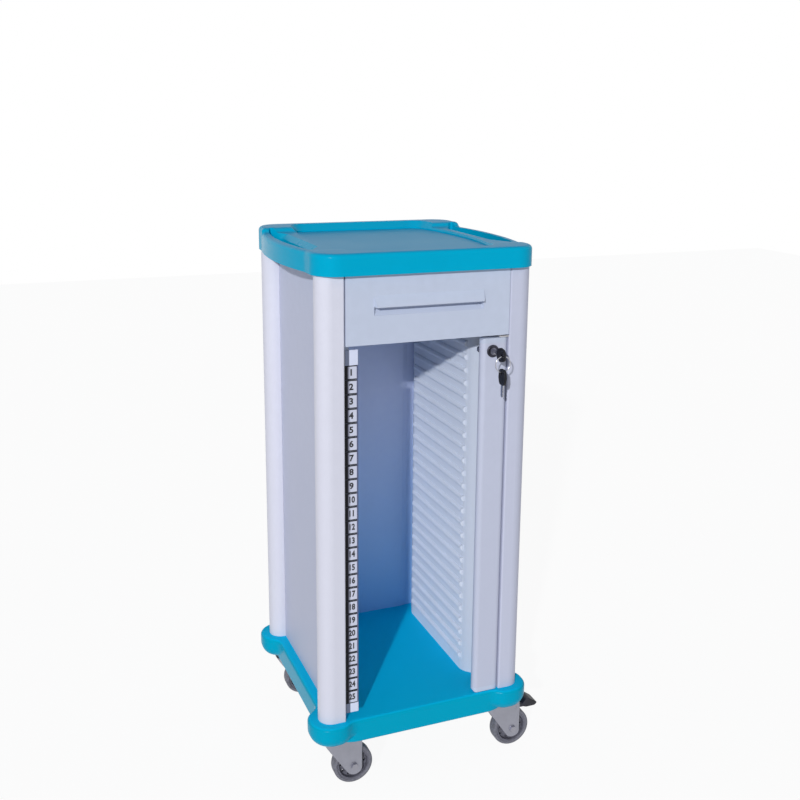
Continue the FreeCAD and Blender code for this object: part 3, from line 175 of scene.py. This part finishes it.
class RackStage(bpy.types.PropertyGroup):
    """Studio floor, light and camera."""
    floor_pale: colour("Floor, pale", "Pale patches of the studio floor", 243, 243, 244)
    floor_deep: colour("Floor, deep", "Deeper patches of the studio floor", 238, 239, 240)
    key_energy: FloatProperty(name="Key light", description="Strength of the sun-like key light",
                              default=2.28, min=0, max=20)
    key_azimuth: angle("Key azimuth", "Bearing the key light comes from, left of front", 34.0)
    key_elevation: angle("Key elevation", "Height of the key light above the horizon", 21.5)
    key_softness: angle("Key softness", "Angular size of the key light", 1.8)
    sky_colour: FloatVectorProperty(name="Sky colour", description="Tint of the even studio light",
                                    subtype="COLOR", size=3, min=0, max=1, default=(0.94, 0.96, 1.0))
    sky_strength: FloatProperty(name="Sky", description="Strength of the even studio light",
                                default=0.315, min=0, max=5)
    camera_place: FloatVectorProperty(name="Camera", description="Where the camera stands", size=3,
                                      subtype="TRANSLATION", unit="LENGTH",
                                      default=(-0.6963, -1.7594, 1.2097))
    camera_turn: FloatVectorProperty(name="Camera turn", description="Camera angles about X, Y and Z",
                                     size=3, subtype="EULER",
                                     default=[math.radians(turn) for turn in (77.07, -0.616, -22.316)])
    camera_lens: FloatProperty(name="Lens", description="Focal length in millimetres on a 36 mm frame",
                               default=46.62, min=10, max=200)
    camera_shift: FloatVectorProperty(name="Shift", description="Lens shift across and up", size=2,
                                      default=(-0.01875, -0.06225))


# ---------------------------------------------------------------- node helpers
def add(tree, kind, **settings):
    """Adds a node; settings name its properties or, with an underscore first, its input sockets."""
    node = tree.nodes.new(kind)
    for key, value in settings.items():
        if key.startswith("_"):
            node.inputs[key[1:].replace("_", " ")].default_value = value
        else:
            setattr(node, key, value)
    return node


def calculate(tree, operation, first, second=None, clamp=False):
    """Arithmetic on numbers or sockets."""
    node = add(tree, "ShaderNodeMath", operation=operation, use_clamp=clamp)
    for i, value in enumerate((first, second)):
        if isinstance(value, bpy.types.NodeSocket):
            tree.links.new(value, node.inputs[i])
        elif value is not None:
            node.inputs[i].default_value = value
    return node.outputs[0]


def above(tree, value, low, high):
    """A mask: 0 below low, 1 above high, straight between."""
    node = add(tree, "ShaderNodeMapRange", clamp=True, _From_Min=low, _From_Max=high)
    tree.links.new(value, node.inputs["Value"])
    return node.outputs["Result"]


def stretched(tree, mask, low, high):
    """A mask turned into a value from low to high."""
    node = add(tree, "ShaderNodeMapRange", clamp=True, _To_Min=low, _To_Max=high)
    tree.links.new(mask, node.inputs["Value"])
    return node.outputs["Result"]


def own_place(tree):
    """Places on the piece, in its own coordinates."""
    return add(tree, "ShaderNodeTexCoord").outputs["Object"]


def split(tree, vector):
    """A vector's X, Y and Z."""
    node = add(tree, "ShaderNodeSeparateXYZ")
    tree.links.new(vector, node.inputs[0])
    return node.outputs


def cloudy(tree, scale, **settings):
    """Noise over the piece; the scale is a number or a socket."""
    node = add(tree, "ShaderNodeTexNoise", **settings)
    tree.links.new(own_place(tree), node.inputs["Vector"])
    if isinstance(scale, bpy.types.NodeSocket):
        tree.links.new(scale, node.inputs["Scale"])
    else:
        node.inputs["Scale"].default_value = scale
    return node.outputs["Fac"]


# ---------------------------------------------------------------- shared effects
def new_group(name, inputs, outputs):
    """An empty shader group with named number inputs and named mask outputs."""
    group = bpy.data.node_groups.new(name, "ShaderNodeTree")
    for label, default in inputs.items():
        socket = group.interface.new_socket(name=label, in_out="INPUT", socket_type="NodeSocketFloat")
        socket.default_value = default
    for label in outputs:
        group.interface.new_socket(name=label, in_out="OUTPUT", socket_type="NodeSocketFloat")
    return group, group.nodes.new("NodeGroupInput").outputs, group.nodes.new("NodeGroupOutput").inputs


def made_once(build):
    """Makes a group on the first call and hands the same one back after that."""
    def ready():
        name = build.__name__.replace("_", " ").capitalize()
        return bpy.data.node_groups.get(name) or build(name)
    return ready


@made_once
def moulded_grain(name):
    """Fine grain of a mould or coat, and a slow mottle."""
    group, given, result = new_group(name, {"Grain scale": 900.0, "Mottle scale": 7.0}, ["Height", "Mottle"])
    grain = cloudy(group, given["Grain scale"], _Detail=3.0, _Roughness=0.55)
    mottle = cloudy(group, given["Mottle scale"], _Detail=4.0, _Roughness=0.6)
    group.links.new(grain, result["Height"])
    group.links.new(above(group, mottle, low=0.3, high=0.7), result["Mottle"])
    return group


@made_once
def drawn_lines(name):
    """Faint upright lines left by drawing or brushing."""
    group, given, result = new_group(name, {"Across": 600.0, "Along": 3.0}, ["Lines"])
    place = split(group, own_place(group))
    scaled = add(group, "ShaderNodeCombineXYZ")
    for axis, scale in (("X", "Across"), ("Y", "Across"), ("Z", "Along")):
        group.links.new(calculate(group, "MULTIPLY", place[axis], given[scale]), scaled.inputs[axis])
    lines = add(group, "ShaderNodeTexNoise", _Scale=1.0, _Detail=2.0)
    group.links.new(scaled.outputs[0], lines.inputs["Vector"])
    group.links.new(lines.outputs["Fac"], result["Lines"])
    return group


@made_once
def rubbed_edges(name):
    """A mask of outer edges, broken up as hands and charts rub them."""
    group, given, result = new_group(name, {"Reach": 0.06}, ["Mask"])
    flat = 0.5
    pointed = calculate(group, "SUBTRACT", add(group, "ShaderNodeNewGeometry").outputs["Pointiness"], flat)
    edge = calculate(group, "DIVIDE", pointed, given["Reach"], clamp=True)
    patch = above(group, cloudy(group, 60.0, _Detail=5.0), low=0.4, high=0.65)
    group.links.new(calculate(group, "MULTIPLY", edge, patch), result["Mask"])
    return group


@made_once
def settled_dust(name):
    """A patchy film on faces that look up, and a plain mask of those faces."""
    group, given, result = new_group(name, {"Amount": 0.3}, ["Mask", "Up"])
    normal = split(group, add(group, "ShaderNodeNewGeometry").outputs["Normal"])
    up = above(group, normal["Z"], low=0.6, high=1.0)
    patch = above(group, cloudy(group, 24.0, _Detail=6.0, _Roughness=0.65), low=0.35, high=0.75)
    film = calculate(group, "MULTIPLY", calculate(group, "MULTIPLY", up, patch), given["Amount"])
    group.links.new(film, result["Mask"])
    group.links.new(up, result["Up"])
    return group


@made_once
def zone_masks(name):
    """Masks along X, Y and Z: 0 at one place on the axis, 1 at another, straight between."""
    group, given, result = new_group(name, {"Over": 0.0, "Full": 1.0}, ["X", "Y", "Z"])
    place = split(group, own_place(group))
    for axis in ("X", "Y", "Z"):
        mask = add(group, "ShaderNodeMapRange", clamp=True)
        group.links.new(place[axis], mask.inputs["Value"])
        group.links.new(given["Over"], mask.inputs["From Min"])
        group.links.new(given["Full"], mask.inputs["From Max"])
        group.links.new(mask.outputs["Result"], result[axis])
    return group


# ---------------------------------------------------------------- material building
def blank_material(name, metallic=0.0, ior=1.5):
    """A new material, its node tree and its surface shader."""
    material = bpy.data.materials.new(name)
    material.use_nodes = True
    surface = material.node_tree.nodes["Principled BSDF"]
    surface.inputs["Metallic"].default_value = metallic
    surface.inputs["IOR"].default_value = ior
    return material, material.node_tree, surface


def use_group(material, group, **values):
    """Places a shared effect in a material, with its own values, and gives its outputs."""
    node = add(material.node_tree, "ShaderNodeGroup", node_tree=group)
    for label, value in values.items():
        node.inputs[label.replace("_", " ")].default_value = value
    return node.outputs


def shade(rgb, factor):
    """A colour made deeper or paler."""
    return tuple(min(1.0, channel * factor) for channel in rgb)


def mixed(material, factor, first, second):
    """A colour between two colours or colour sockets, by a mask."""
    tree = material.node_tree
    node = add(tree, "ShaderNodeMix", data_type="RGBA")
    tree.links.new(factor, node.inputs["Factor"])
    for label, value in (("A", first), ("B", second)):
        socket = next(s for s in node.inputs if s.name == label and s.type == "RGBA")
        if isinstance(value, bpy.types.NodeSocket):
            tree.links.new(value, socket)
        else:
            socket.default_value = (*value, 1.0)
    return next(s for s in node.outputs if s.type == "RGBA")


def zone_mask(material, axis, over, full):
    """A mask along one axis: 0 where a finish is over, 1 where it is full."""
    return use_group(material, zone_masks(), Over=over, Full=full)[axis]


def zoned(material, body, zones):
    """Lays colours over a body colour.

    Each zone is an axis, the place where the zone is over, the one where it is full, and its colour.
    """
    for axis, over, full, rgb in zones:
        body = mixed(material, zone_mask(material, axis, over, full), body, rgb)
    return body


def deeper_down(node, rgb, factor):
    """A zone over a node's height: painted shade that deepens the coat towards the foot."""
    low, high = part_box(node)
    return ("Z", high[2], low[2], shade(rgb, factor))


def bump(material, height, strength, distance):
    """Raises the surface's shading by a height mask."""
    tree = material.node_tree
    node = add(tree, "ShaderNodeBump", _Strength=strength, _Distance=distance)
    tree.links.new(height, node.inputs["Height"])
    tree.links.new(node.outputs["Normal"], tree.nodes["Principled BSDF"].inputs["Normal"])


# ---------------------------------------------------------------- finishes
def plastic(name, rgb, roughness, gloss_ior=1.45, grain=900.0, grain_depth=0.00003, mottle=7.0,
            variation=0.012, edge_light=1.03, zones=(), top=None, matt_top=0.1, top_coat=0.0):
    """Moulded plastic: grain, a slow mottle, paler rubbed edges and a little dust.

    Faces that look up are more matt and may have a thin clear coat; a top colour on them is painted light
    and shade, not the plastic's own colour.
    """
    material, tree, surface = blank_material(name, ior=gloss_ior)
    texture = use_group(material, moulded_grain(), Grain_scale=grain, Mottle_scale=mottle)
    edges = use_group(material, rubbed_edges(), Reach=0.08)
    film = use_group(material, settled_dust(), Amount=0.02)
    body = mixed(material, texture["Mottle"], shade(rgb, 1 - variation), shade(rgb, 1 + variation))
    # Rubbed edges are wear; the zones and the top colour are painted light and shade.
    edged_colour = zoned(material, mixed(material, edges["Mask"], body, shade(rgb, edge_light)), zones)
    if top is not None:
        edged_colour = mixed(material, film["Up"], edged_colour, top)
    dust_and_painted_light = mixed(material, film["Mask"], edged_colour, shade(rgb, 1.3))
    tree.links.new(dust_and_painted_light, surface.inputs["Base Color"])
    patchy = stretched(tree, texture["Mottle"], max(0.03, roughness - 0.04), roughness + 0.04)
    duller = calculate(tree, "MULTIPLY", film["Up"], matt_top)
    tree.links.new(calculate(tree, "ADD", patchy, duller, clamp=True), surface.inputs["Roughness"])
    if top_coat:
        surface.inputs["Coat Roughness"].default_value = 0.35
        tree.links.new(calculate(tree, "MULTIPLY", film["Up"], top_coat), surface.inputs["Coat Weight"])
    bump(material, texture["Height"], strength=0.35, distance=grain_depth)
    return material


def coated_metal(name, rgb, roughness, zones=()):
    """Powder coat over an extrusion or sheet: orange peel, faint drawn lines, rubbed edges."""
    material, tree, surface = blank_material(name, ior=1.35)
    peel = use_group(material, moulded_grain(), Grain_scale=420.0, Mottle_scale=4.0)
    lines = use_group(material, drawn_lines(), Across=260.0, Along=1.2)
    edges = use_group(material, rubbed_edges(), Reach=0.1)
    body = mixed(material, peel["Mottle"], shade(rgb, 0.992), shade(rgb, 1.008))
    lined = mixed(material, lines["Lines"], shade(rgb, 0.985), body)
    edged_colour = mixed(material, edges["Mask"], lined, shade(rgb, 1.015))
    # The zones lay painted shade over the coat, and on the back panel the plain coat on its rear face.
    tree.links.new(zoned(material, edged_colour, zones), surface.inputs["Base Color"])
    patchy = stretched(tree, peel["Mottle"], roughness - 0.05, roughness + 0.05)
    tree.links.new(patchy, surface.inputs["Roughness"])
    bump(material, peel["Height"], strength=0.25, distance=0.00004)
    return material


def bare_metal(name, rgb, roughness):
    """Plated or turned metal with drawn lines and dull patches."""
    material, tree, surface = blank_material(name, metallic=1.0)
    lines = use_group(material, drawn_lines(), Across=900.0, Along=40.0)
    patches = use_group(material, moulded_grain(), Grain_scale=1500.0, Mottle_scale=30.0)
    body = mixed(material, patches["Mottle"], shade(rgb, 0.82), shade(rgb, 1.08))
    tree.links.new(mixed(material, lines["Lines"], shade(rgb, 0.9), body), surface.inputs["Base Color"])
    brushed = stretched(tree, lines["Lines"], max(0.05, roughness - 0.1), roughness + 0.1)
    tree.links.new(brushed, surface.inputs["Roughness"])
    bump(material, lines["Lines"], strength=0.2, distance=0.00003)
    return material


def label_sheet(material, rgb, mottle):
    """Satin label stock: sets roughness and grain, and gives the sheet's slightly mottled colour."""
    tree = material.node_tree
    grain = use_group(material, moulded_grain(), Grain_scale=700.0, Mottle_scale=mottle)
    patchy = stretched(tree, grain["Mottle"], low=0.35, high=0.5)
    tree.links.new(patchy, tree.nodes["Principled BSDF"].inputs["Roughness"])
    bump(material, grain["Height"], strength=0.2, distance=0.00002)
    return mixed(material, grain["Mottle"], shade(rgb, 0.94), rgb)


def tag_print(name, colours, sizes, side, foot):
    """Pale tags: a black band on their column side with a soft shade beside it, a black line between two.

    The side is the X of the tags' column side, and the foot is the Z of the lowest slot.
    """
    material, tree, surface = blank_material(name, ior=1.25)
    sheet = label_sheet(material, colours.tag, mottle=40.0)
    full, over = sizes.tag_shade
    # Painted shadow of the column beside the black band.
    beside = calculate(tree, "MULTIPLY", zone_mask(material, "X", side + over, side + full), TAG_SHADE_DEPTH)
    shaded = mixed(material, beside, sheet, colours.tag_shade)
    full, over = sizes.tag_band
    band = zone_mask(material, "X", side + over, side + full)
    height = calculate(tree, "SUBTRACT", split(tree, own_place(tree))["Z"], foot)
    slot_share = calculate(tree, "FRACT", calculate(tree, "DIVIDE", height, sizes.slot_pitch))
    from_middle = calculate(tree, "ABSOLUTE", calculate(tree, "SUBTRACT", slot_share, 0.5))
    full, over = sizes.tag_line
    line = above(tree, from_middle, over / sizes.slot_pitch, full / sizes.slot_pitch)
    printed = mixed(material, calculate(tree, "MAXIMUM", band, line), shaded, colours.ink)
    tree.links.new(printed, surface.inputs["Base Color"])
    return material


def strip_plastic(name, colours, sizes, tags_low, tags_high):
    """The strip behind the tags: painted shadow of the column along its column side, pale past their ends,
    dark in the bead beside them.
    """
    material, tree, surface = blank_material(name)
    sheet = label_sheet(material, colours.strip, mottle=20.0)
    side = tags_low[0]
    full, over = sizes.strip_side
    # Painted shadow of the column along the strip's column side.
    plain = zoned(material, sheet, [("X", side + over, side + full, colours.strip_side)])
    full, over = sizes.strip_bead
    bead = zone_mask(material, "X", side + over, side + full)
    full, over = sizes.strip_end
    over_foot = zone_mask(material, "Z", tags_low[2] - over, tags_low[2] - full)
    under_head = zone_mask(material, "Z", tags_high[2] + over, tags_high[2] + full)
    beside_tags = calculate(tree, "MULTIPLY", over_foot, under_head)
    dark = mixed(material, calculate(tree, "MULTIPLY", bead, beside_tags), plain, colours.strip_bead)
    tree.links.new(dark, surface.inputs["Base Color"])
    return material


def number_ink(name, rgb):
    """Printing ink with a fine mottle."""
    material, tree, surface = blank_material(name)
    grain = use_group(material, moulded_grain(), Grain_scale=2000.0, Mottle_scale=200.0)
    tree.links.new(mixed(material, grain["Mottle"], rgb, shade(rgb, 2.5)), surface.inputs["Base Color"])
    surface.inputs["Roughness"].default_value = 0.55
    return material


def starting(*prefixes):
    """The frame's nodes whose names start in one of these ways."""
    return [name for name in sorted(NODES) if name.startswith(prefixes)]


def dress(names, material):
    """Gives carried-over nodes their material."""
    for name in names:
        mesh = NODES[name].data
        mesh.materials.clear()
        mesh.materials.append(material)


# ---------------------------------------------------------------- pieces
class RACK_OT_trays(bpy.types.Operator):
    """Give the moulded top and base trays their satin coloured plastic, with painted shade on the work
    surface and painted light on the base floor.
    """
    bl_idname = "rack.trays"
    bl_label = "Trays"

    def execute(self, context):
        colours = context.scene.rack_colours
        satin = {"roughness": 0.2, "grain": 650.0, "gloss_ior": 1.12, "matt_top": 0.3}
        # Painted shade: the top tray's faces that look up take a darker copy of its colour.
        dress(["top_tray"], plastic("Top tray plastic with painted shade", colours.tray, top=colours.tray_top, top_coat=0.28,
                                    **satin))
        # Painted light: the base tray's faces that look up take a paler copy of its colour.
        dress(["base_tray"], plastic("Base tray plastic with painted light", colours.base, top=colours.floor, **satin))
        return {"FINISHED"}


class RACK_OT_carcass(bpy.types.Operator):
    """Give columns, panels and liners their coatings, with painted light and shade laid over some of them.
    """
    bl_idname = "rack.carcass"
    bl_label = "Columns, panels and liners"

    def execute(self, context):
        colours = context.scene.rack_colours
        sizes = context.scene.rack_sizes
        upright = "column_front_left"
        # Each row: material name, colour, roughness, painted shade factor at the foot, and nodes.
        for name, rgb, roughness, foot_shade_factor, nodes in (
                ("Column coating with painted shade", colours.column, 0.42, 0.9, ["column_front_left", "column_rear_left"]),
                # Painted shade: the lock-side columns take the greyer copy of the column coat.
                ("Lock-side column coating with painted shade", colours.lock_column, 0.42, 0.94,
                 ["column_front_right", "column_rear_right"]),
                ("Panel coating with painted shade", colours.panel, 0.5, 0.84, starting("side_panel_"))):
            dress(nodes, coated_metal(name, rgb, roughness, zones=[deeper_down(upright, rgb, foot_shade_factor)]))
        low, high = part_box("back_panel")
        full, over = sizes.back_skin
        # Painted shade inside the back panel towards its foot; the rear face keeps the plain panel coat.
        inside = ("Z", low[2] + sizes.back_fade, low[2], colours.back_foot)
        outside = ("Y", high[1] - over, high[1] - full, colours.panel)
        # The back panel's colour inside is painted light, paler and bluer than its coat.
        dress(["back_panel"], coated_metal("Back coating with painted light", colours.back, roughness=0.55,
                                           zones=[inside, outside]))
        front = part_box("slot_liner_right")[0][1]
        full, over = sizes.liner_lip
        # Painted shade: the liners' front lips take a darker copy of their colour.
        lip = ("Y", front + over, front + full, colours.liner_lip)
        dress(starting("slot_liner_"), plastic("Liner plastic", colours.liner, roughness=0.5, edge_light=1.0,
                                               zones=[lip]))
        return {"FINISHED"}


class RACK_OT_drawer(bpy.types.Operator):
    """Give the drawer its moulded front and the box behind it."""
    bl_idname = "rack.drawer"
    bl_label = "Drawer"

    def execute(self, context):
        colours = context.scene.rack_colours
        dress(["drawer_front"], plastic("Drawer plastic", colours.drawer, roughness=0.45))
        dress(["drawer_box"], plastic("Box plastic", shade(colours.drawer, 0.92), roughness=0.5))
        return {"FINISHED"}


def number_text(collection, number, place, sizes):
    """One slot number as flat text that faces the front."""
    curve = bpy.data.curves.new("number", "FONT")
    curve.body = str(number)
    curve.align_x = "CENTER"
    curve.align_y = "CENTER"
    curve.size = sizes.digit_height / DIGIT_SHARE
    curve.extrude = sizes.digit_thickness
    curve.offset = sizes.digit_height * DIGIT_BOLDNESS
    curve.resolution_u = 4
    text = bpy.data.objects.new("number", curve)
    collection.objects.link(text)
    width = TWO_DIGIT_WIDTH if number > LAST_SINGLE_DIGIT else 1.0
    text.matrix_world = (Matrix.Translation(place) @ Matrix.Rotation(math.pi / 2, 4, "X")
                         @ Matrix.Diagonal((width, 1, 1, 1)))
    return text


def joined_mesh(context, name, texts):
    """One mesh of several texts, which are removed."""
    context.view_layer.update()
    depsgraph = context.evaluated_depsgraph_get()
    shape = bmesh.new()
    for text in texts:
        flat = bpy.data.meshes.new_from_object(text.evaluated_get(depsgraph))
        flat.transform(text.matrix_world)
        shape.from_mesh(flat)
        bpy.data.meshes.remove(flat)
    for text in texts:
        curve = text.data
        bpy.data.objects.remove(text)
        bpy.data.curves.remove(curve)
    mesh = bpy.data.meshes.new(name)
    shape.to_mesh(mesh)
    shape.free()
    return mesh


class RACK_OT_numbers(bpy.types.Operator):
    """Finish the tags and their strip, and print the slot numbers on them."""
    bl_idname = "rack.numbers"
    bl_label = "Slot numbers"

    def execute(self, context):
        colours = context.scene.rack_colours
        sizes = context.scene.rack_sizes
        collection = context.scene.collection
        low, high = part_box("slot_tags")
        foot = (low[2] + high[2] - sizes.slot_count * sizes.slot_pitch) / 2
        # The tags carry the column's painted shadow beside their black band.
        dress(["slot_tags"], tag_print("Tag print", colours, sizes, low[0], foot))
        # The strip carries the column's painted shadow.
        dress(["label_strip"], strip_plastic("Strip plastic", colours, sizes, low, high))
        middle = low[0] + (high[0] - low[0]) * DIGIT_PLACE
        texts = []
        for i in range(sizes.slot_count):
            place = (middle, low[1], foot + sizes.slot_pitch * (i + 0.5))
            texts.append(number_text(collection, sizes.slot_count - i, place, sizes))
        mesh = joined_mesh(context, "slot_numbers", texts)
        mesh.materials.append(number_ink("Number ink", colours.ink))
        numbers = bpy.data.objects.new("slot_numbers", mesh)
        collection.objects.link(numbers)
        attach(numbers, "carcass")
        return {"FINISHED"}


class RACK_OT_lock(bpy.types.Operator):
    """Finish the lock bar, its caps and pins, the cam lock and the two keys."""
    bl_idname = "rack.lock"
    bl_label = "Lock bar and keys"

    def execute(self, context):
        colours = context.scene.rack_colours
        # The bar gets painted shade towards its foot.
        dress(["lock_bar"], coated_metal("Bar coating with painted shade", colours.bar, roughness=0.42,
                                         zones=[deeper_down("lock_bar", colours.bar, 0.94)]))
        dress(["lock_bar_caps"], plastic("Cap plastic", shade(colours.drawer, 0.95), roughness=0.45))
        dress(["lock_plug"], bare_metal("Plug plate", colours.plug_plate, roughness=0.3))
        dress(["lock_cam", "lock_key_blade", "spare_key_blade", "key_ring", "lock_nut", "cam_screw",
               "lock_keeper", "lock_bar_pins", "lock_bar_hinge_plate"],
              bare_metal("Bright plate", colours.key_plate, roughness=0.25))
        dress(["lock_housing"], bare_metal("Lock face", colours.lock_face, roughness=0.3))
        dress(["lock_key_bow", "spare_key_bow", "lock_bar_bush"],
              plastic("Key grip plastic", colours.key, roughness=0.42, edge_light=1.5, gloss_ior=1.35))
        return {"FINISHED"}


class RACK_OT_casters(bpy.types.Operator):
    """Finish the casters and brake pedals."""
    bl_idname = "rack.casters"
    bl_label = "Casters"

    def execute(self, context):
        colours = context.scene.rack_colours
        dress(starting("caster_tread_"),
              plastic("Tread rubber", colours.tread, roughness=0.6, grain=500.0, grain_depth=0.0001,
                      variation=0.35, mottle=190.0))
        dress(starting("caster_hub_"),
              plastic("Hub nylon", colours.hub, roughness=0.5, variation=0.4, mottle=150.0))
        dress(starting("caster_fork_"), bare_metal("Zinc plate", colours.fork_plate, roughness=0.4))
        dress(starting("caster_axle_", "brake_pin_", "caster_mounts"),
              bare_metal("Bolt plate", colours.bolt_plate, roughness=0.36))
        dress(starting("brake_pedal_"),
              plastic("Pedal plastic", shade(colours.key, 1.4), roughness=0.4, edge_light=2.5))
        return {"FINISHED"}


class RACK_OT_hardware(bpy.types.Operator):
    """Finish the rails, runners, crossbar and screws inside."""
    bl_idname = "rack.hardware"
    bl_label = "Rails, runners and screws"

    def execute(self, context):
        colours = context.scene.rack_colours
        dress(starting("top_rails", "front_crossbar", "tray_screws", "drawer_screws", "runner_"),
              bare_metal("Zinc sheet", colours.sheet_plate, roughness=0.35))
        return {"FINISHED"}


# ---------------------------------------------------------------- studio
def seen_or_mirrored(tree):
    """A mask of the rays that show a thing, directly, mirrored or through glass, and don't light others."""
    rays = add(tree, "ShaderNodeLightPath").outputs
    mirrored = calculate(tree, "MAXIMUM", rays["Is Glossy Ray"], rays["Is Transmission Ray"])
    return calculate(tree, "MAXIMUM", rays["Is Camera Ray"], mirrored)


def floor_material(stage):
    """A pale floor that shows as white round the rack and keeps a faint shadow."""
    material, tree, surface = blank_material("Studio floor")
    grain = use_group(material, moulded_grain(), Grain_scale=60.0, Mottle_scale=1.5)
    tree.links.new(mixed(material, grain["Mottle"], stage.floor_deep, stage.floor_pale),
                   surface.inputs["Base Color"])
    surface.inputs["Roughness"].default_value = 0.9
    glow = add(tree, "ShaderNodeEmission", _Strength=1.0)
    mix = add(tree, "ShaderNodeMixShader")
    tree.links.new(calculate(tree, "MULTIPLY", seen_or_mirrored(tree), FLOOR_WHITE), mix.inputs["Fac"])
    tree.links.new(surface.outputs[0], mix.inputs[1])
    tree.links.new(glow.outputs[0], mix.inputs[2])
    tree.links.new(mix.outputs[0], tree.nodes["Material Output"].inputs["Surface"])
    return material


def studio_floor(stage):
    """A large level floor."""
    mesh = bpy.data.meshes.new("floor")
    shape = bmesh.new()
    bmesh.ops.create_grid(shape, x_segments=8, y_segments=8, size=FLOOR_REACH)
    shape.to_mesh(mesh)
    shape.free()
    mesh.materials.append(floor_material(stage))
    floor = bpy.data.objects.new("floor", mesh)
    floor.location.z = -FLOOR_DROP
    return floor


def studio_world(stage):
    """Even pale light for the rack and plain white wherever the backdrop is seen or mirrored."""
    world = bpy.data.worlds.new("studio")
    world.use_nodes = True
    tree = world.node_tree
    soft = tree.nodes["Background"]
    soft.inputs["Color"].default_value = (*stage.sky_colour, 1)
    soft.inputs["Strength"].default_value = stage.sky_strength
    white = add(tree, "ShaderNodeBackground", _Color=(1, 1, 1, 1), _Strength=1.0)
    mix = add(tree, "ShaderNodeMixShader")
    tree.links.new(seen_or_mirrored(tree), mix.inputs["Fac"])
    tree.links.new(soft.outputs[0], mix.inputs[1])
    tree.links.new(white.outputs[0], mix.inputs[2])
    tree.links.new(mix.outputs[0], tree.nodes["World Output"].inputs["Surface"])
    return world


def key_light(stage):
    """A sun-like lamp from the front left, low above the horizon."""
    lamp = bpy.data.lights.new("key", "SUN")
    lamp.energy = stage.key_energy
    lamp.angle = stage.key_softness
    level = math.cos(stage.key_elevation)
    toward = Vector((-math.sin(stage.key_azimuth) * level, -math.cos(stage.key_azimuth) * level,
                     math.sin(stage.key_elevation)))
    key = bpy.data.objects.new("key", lamp)
    key.rotation_euler = toward.to_track_quat("Z", "Y").to_euler()
    return key


def studio_camera(stage):
    """The camera, in front of the rack and to its left, looking a little down."""
    lens = bpy.data.cameras.new("camera")
    lens.sensor_fit = "HORIZONTAL"
    lens.sensor_width = FRAME_WIDTH
    lens.lens = stage.camera_lens
    lens.shift_x, lens.shift_y = stage.camera_shift
    lens.clip_start = CLOSEST_SEEN
    camera = bpy.data.objects.new("camera", lens)
    camera.location = stage.camera_place
    camera.rotation_euler = stage.camera_turn
    return camera


class RACK_OT_stage(bpy.types.Operator):
    """Set the floor, the studio light and the camera."""
    bl_idname = "rack.stage"
    bl_label = "Stage"

    def execute(self, context):
        scene = context.scene
        stage = scene.rack_stage
        scene.view_settings.view_transform = "Standard"
        scene.world = studio_world(stage)
        floor = studio_floor(stage)
        camera = studio_camera(stage)
        for thing in (floor, key_light(stage), camera):
            scene.collection.objects.link(thing)
        scene.camera = camera
        return {"FINISHED"}


class RACK_PT_panel(bpy.types.Panel):
    """Lists the rack's pieces, colours, sizes and stage."""
    bl_label = "Chart rack"
    bl_idname = "RACK_PT_panel"
    bl_space_type = "VIEW_3D"
    bl_region_type = "UI"
    bl_category = "Chart rack"

    def draw(self, context):
        for operator in OPERATORS:
            self.layout.operator(operator.bl_idname)
        for settings in (context.scene.rack_colours, context.scene.rack_sizes, context.scene.rack_stage):
            box = self.layout.box()
            for key in settings.__annotations__:
                box.prop(settings, key)


OPERATORS = (RACK_OT_trays, RACK_OT_carcass, RACK_OT_drawer, RACK_OT_numbers, RACK_OT_lock, RACK_OT_casters,
             RACK_OT_hardware, RACK_OT_stage)
CLASSES = (RackColours, RackSizes, RackStage) + OPERATORS + (RACK_PT_panel,)


def register():
    for item in CLASSES:
        bpy.utils.register_class(item)
    bpy.types.Scene.rack_colours = PointerProperty(type=RackColours)
    bpy.types.Scene.rack_sizes = PointerProperty(type=RackSizes)
    bpy.types.Scene.rack_stage = PointerProperty(type=RackStage)


def unregister():
    del bpy.types.Scene.rack_stage
    del bpy.types.Scene.rack_sizes
    del bpy.types.Scene.rack_colours
    for item in reversed(CLASSES):
        bpy.utils.unregister_class(item)


def main():
    register()
    bpy.ops.rack.trays()
    bpy.ops.rack.carcass()
    bpy.ops.rack.drawer()
    bpy.ops.rack.numbers()
    bpy.ops.rack.lock()
    bpy.ops.rack.casters()
    bpy.ops.rack.hardware()
    bpy.ops.rack.stage()


if __name__ == "__main__":
    main()
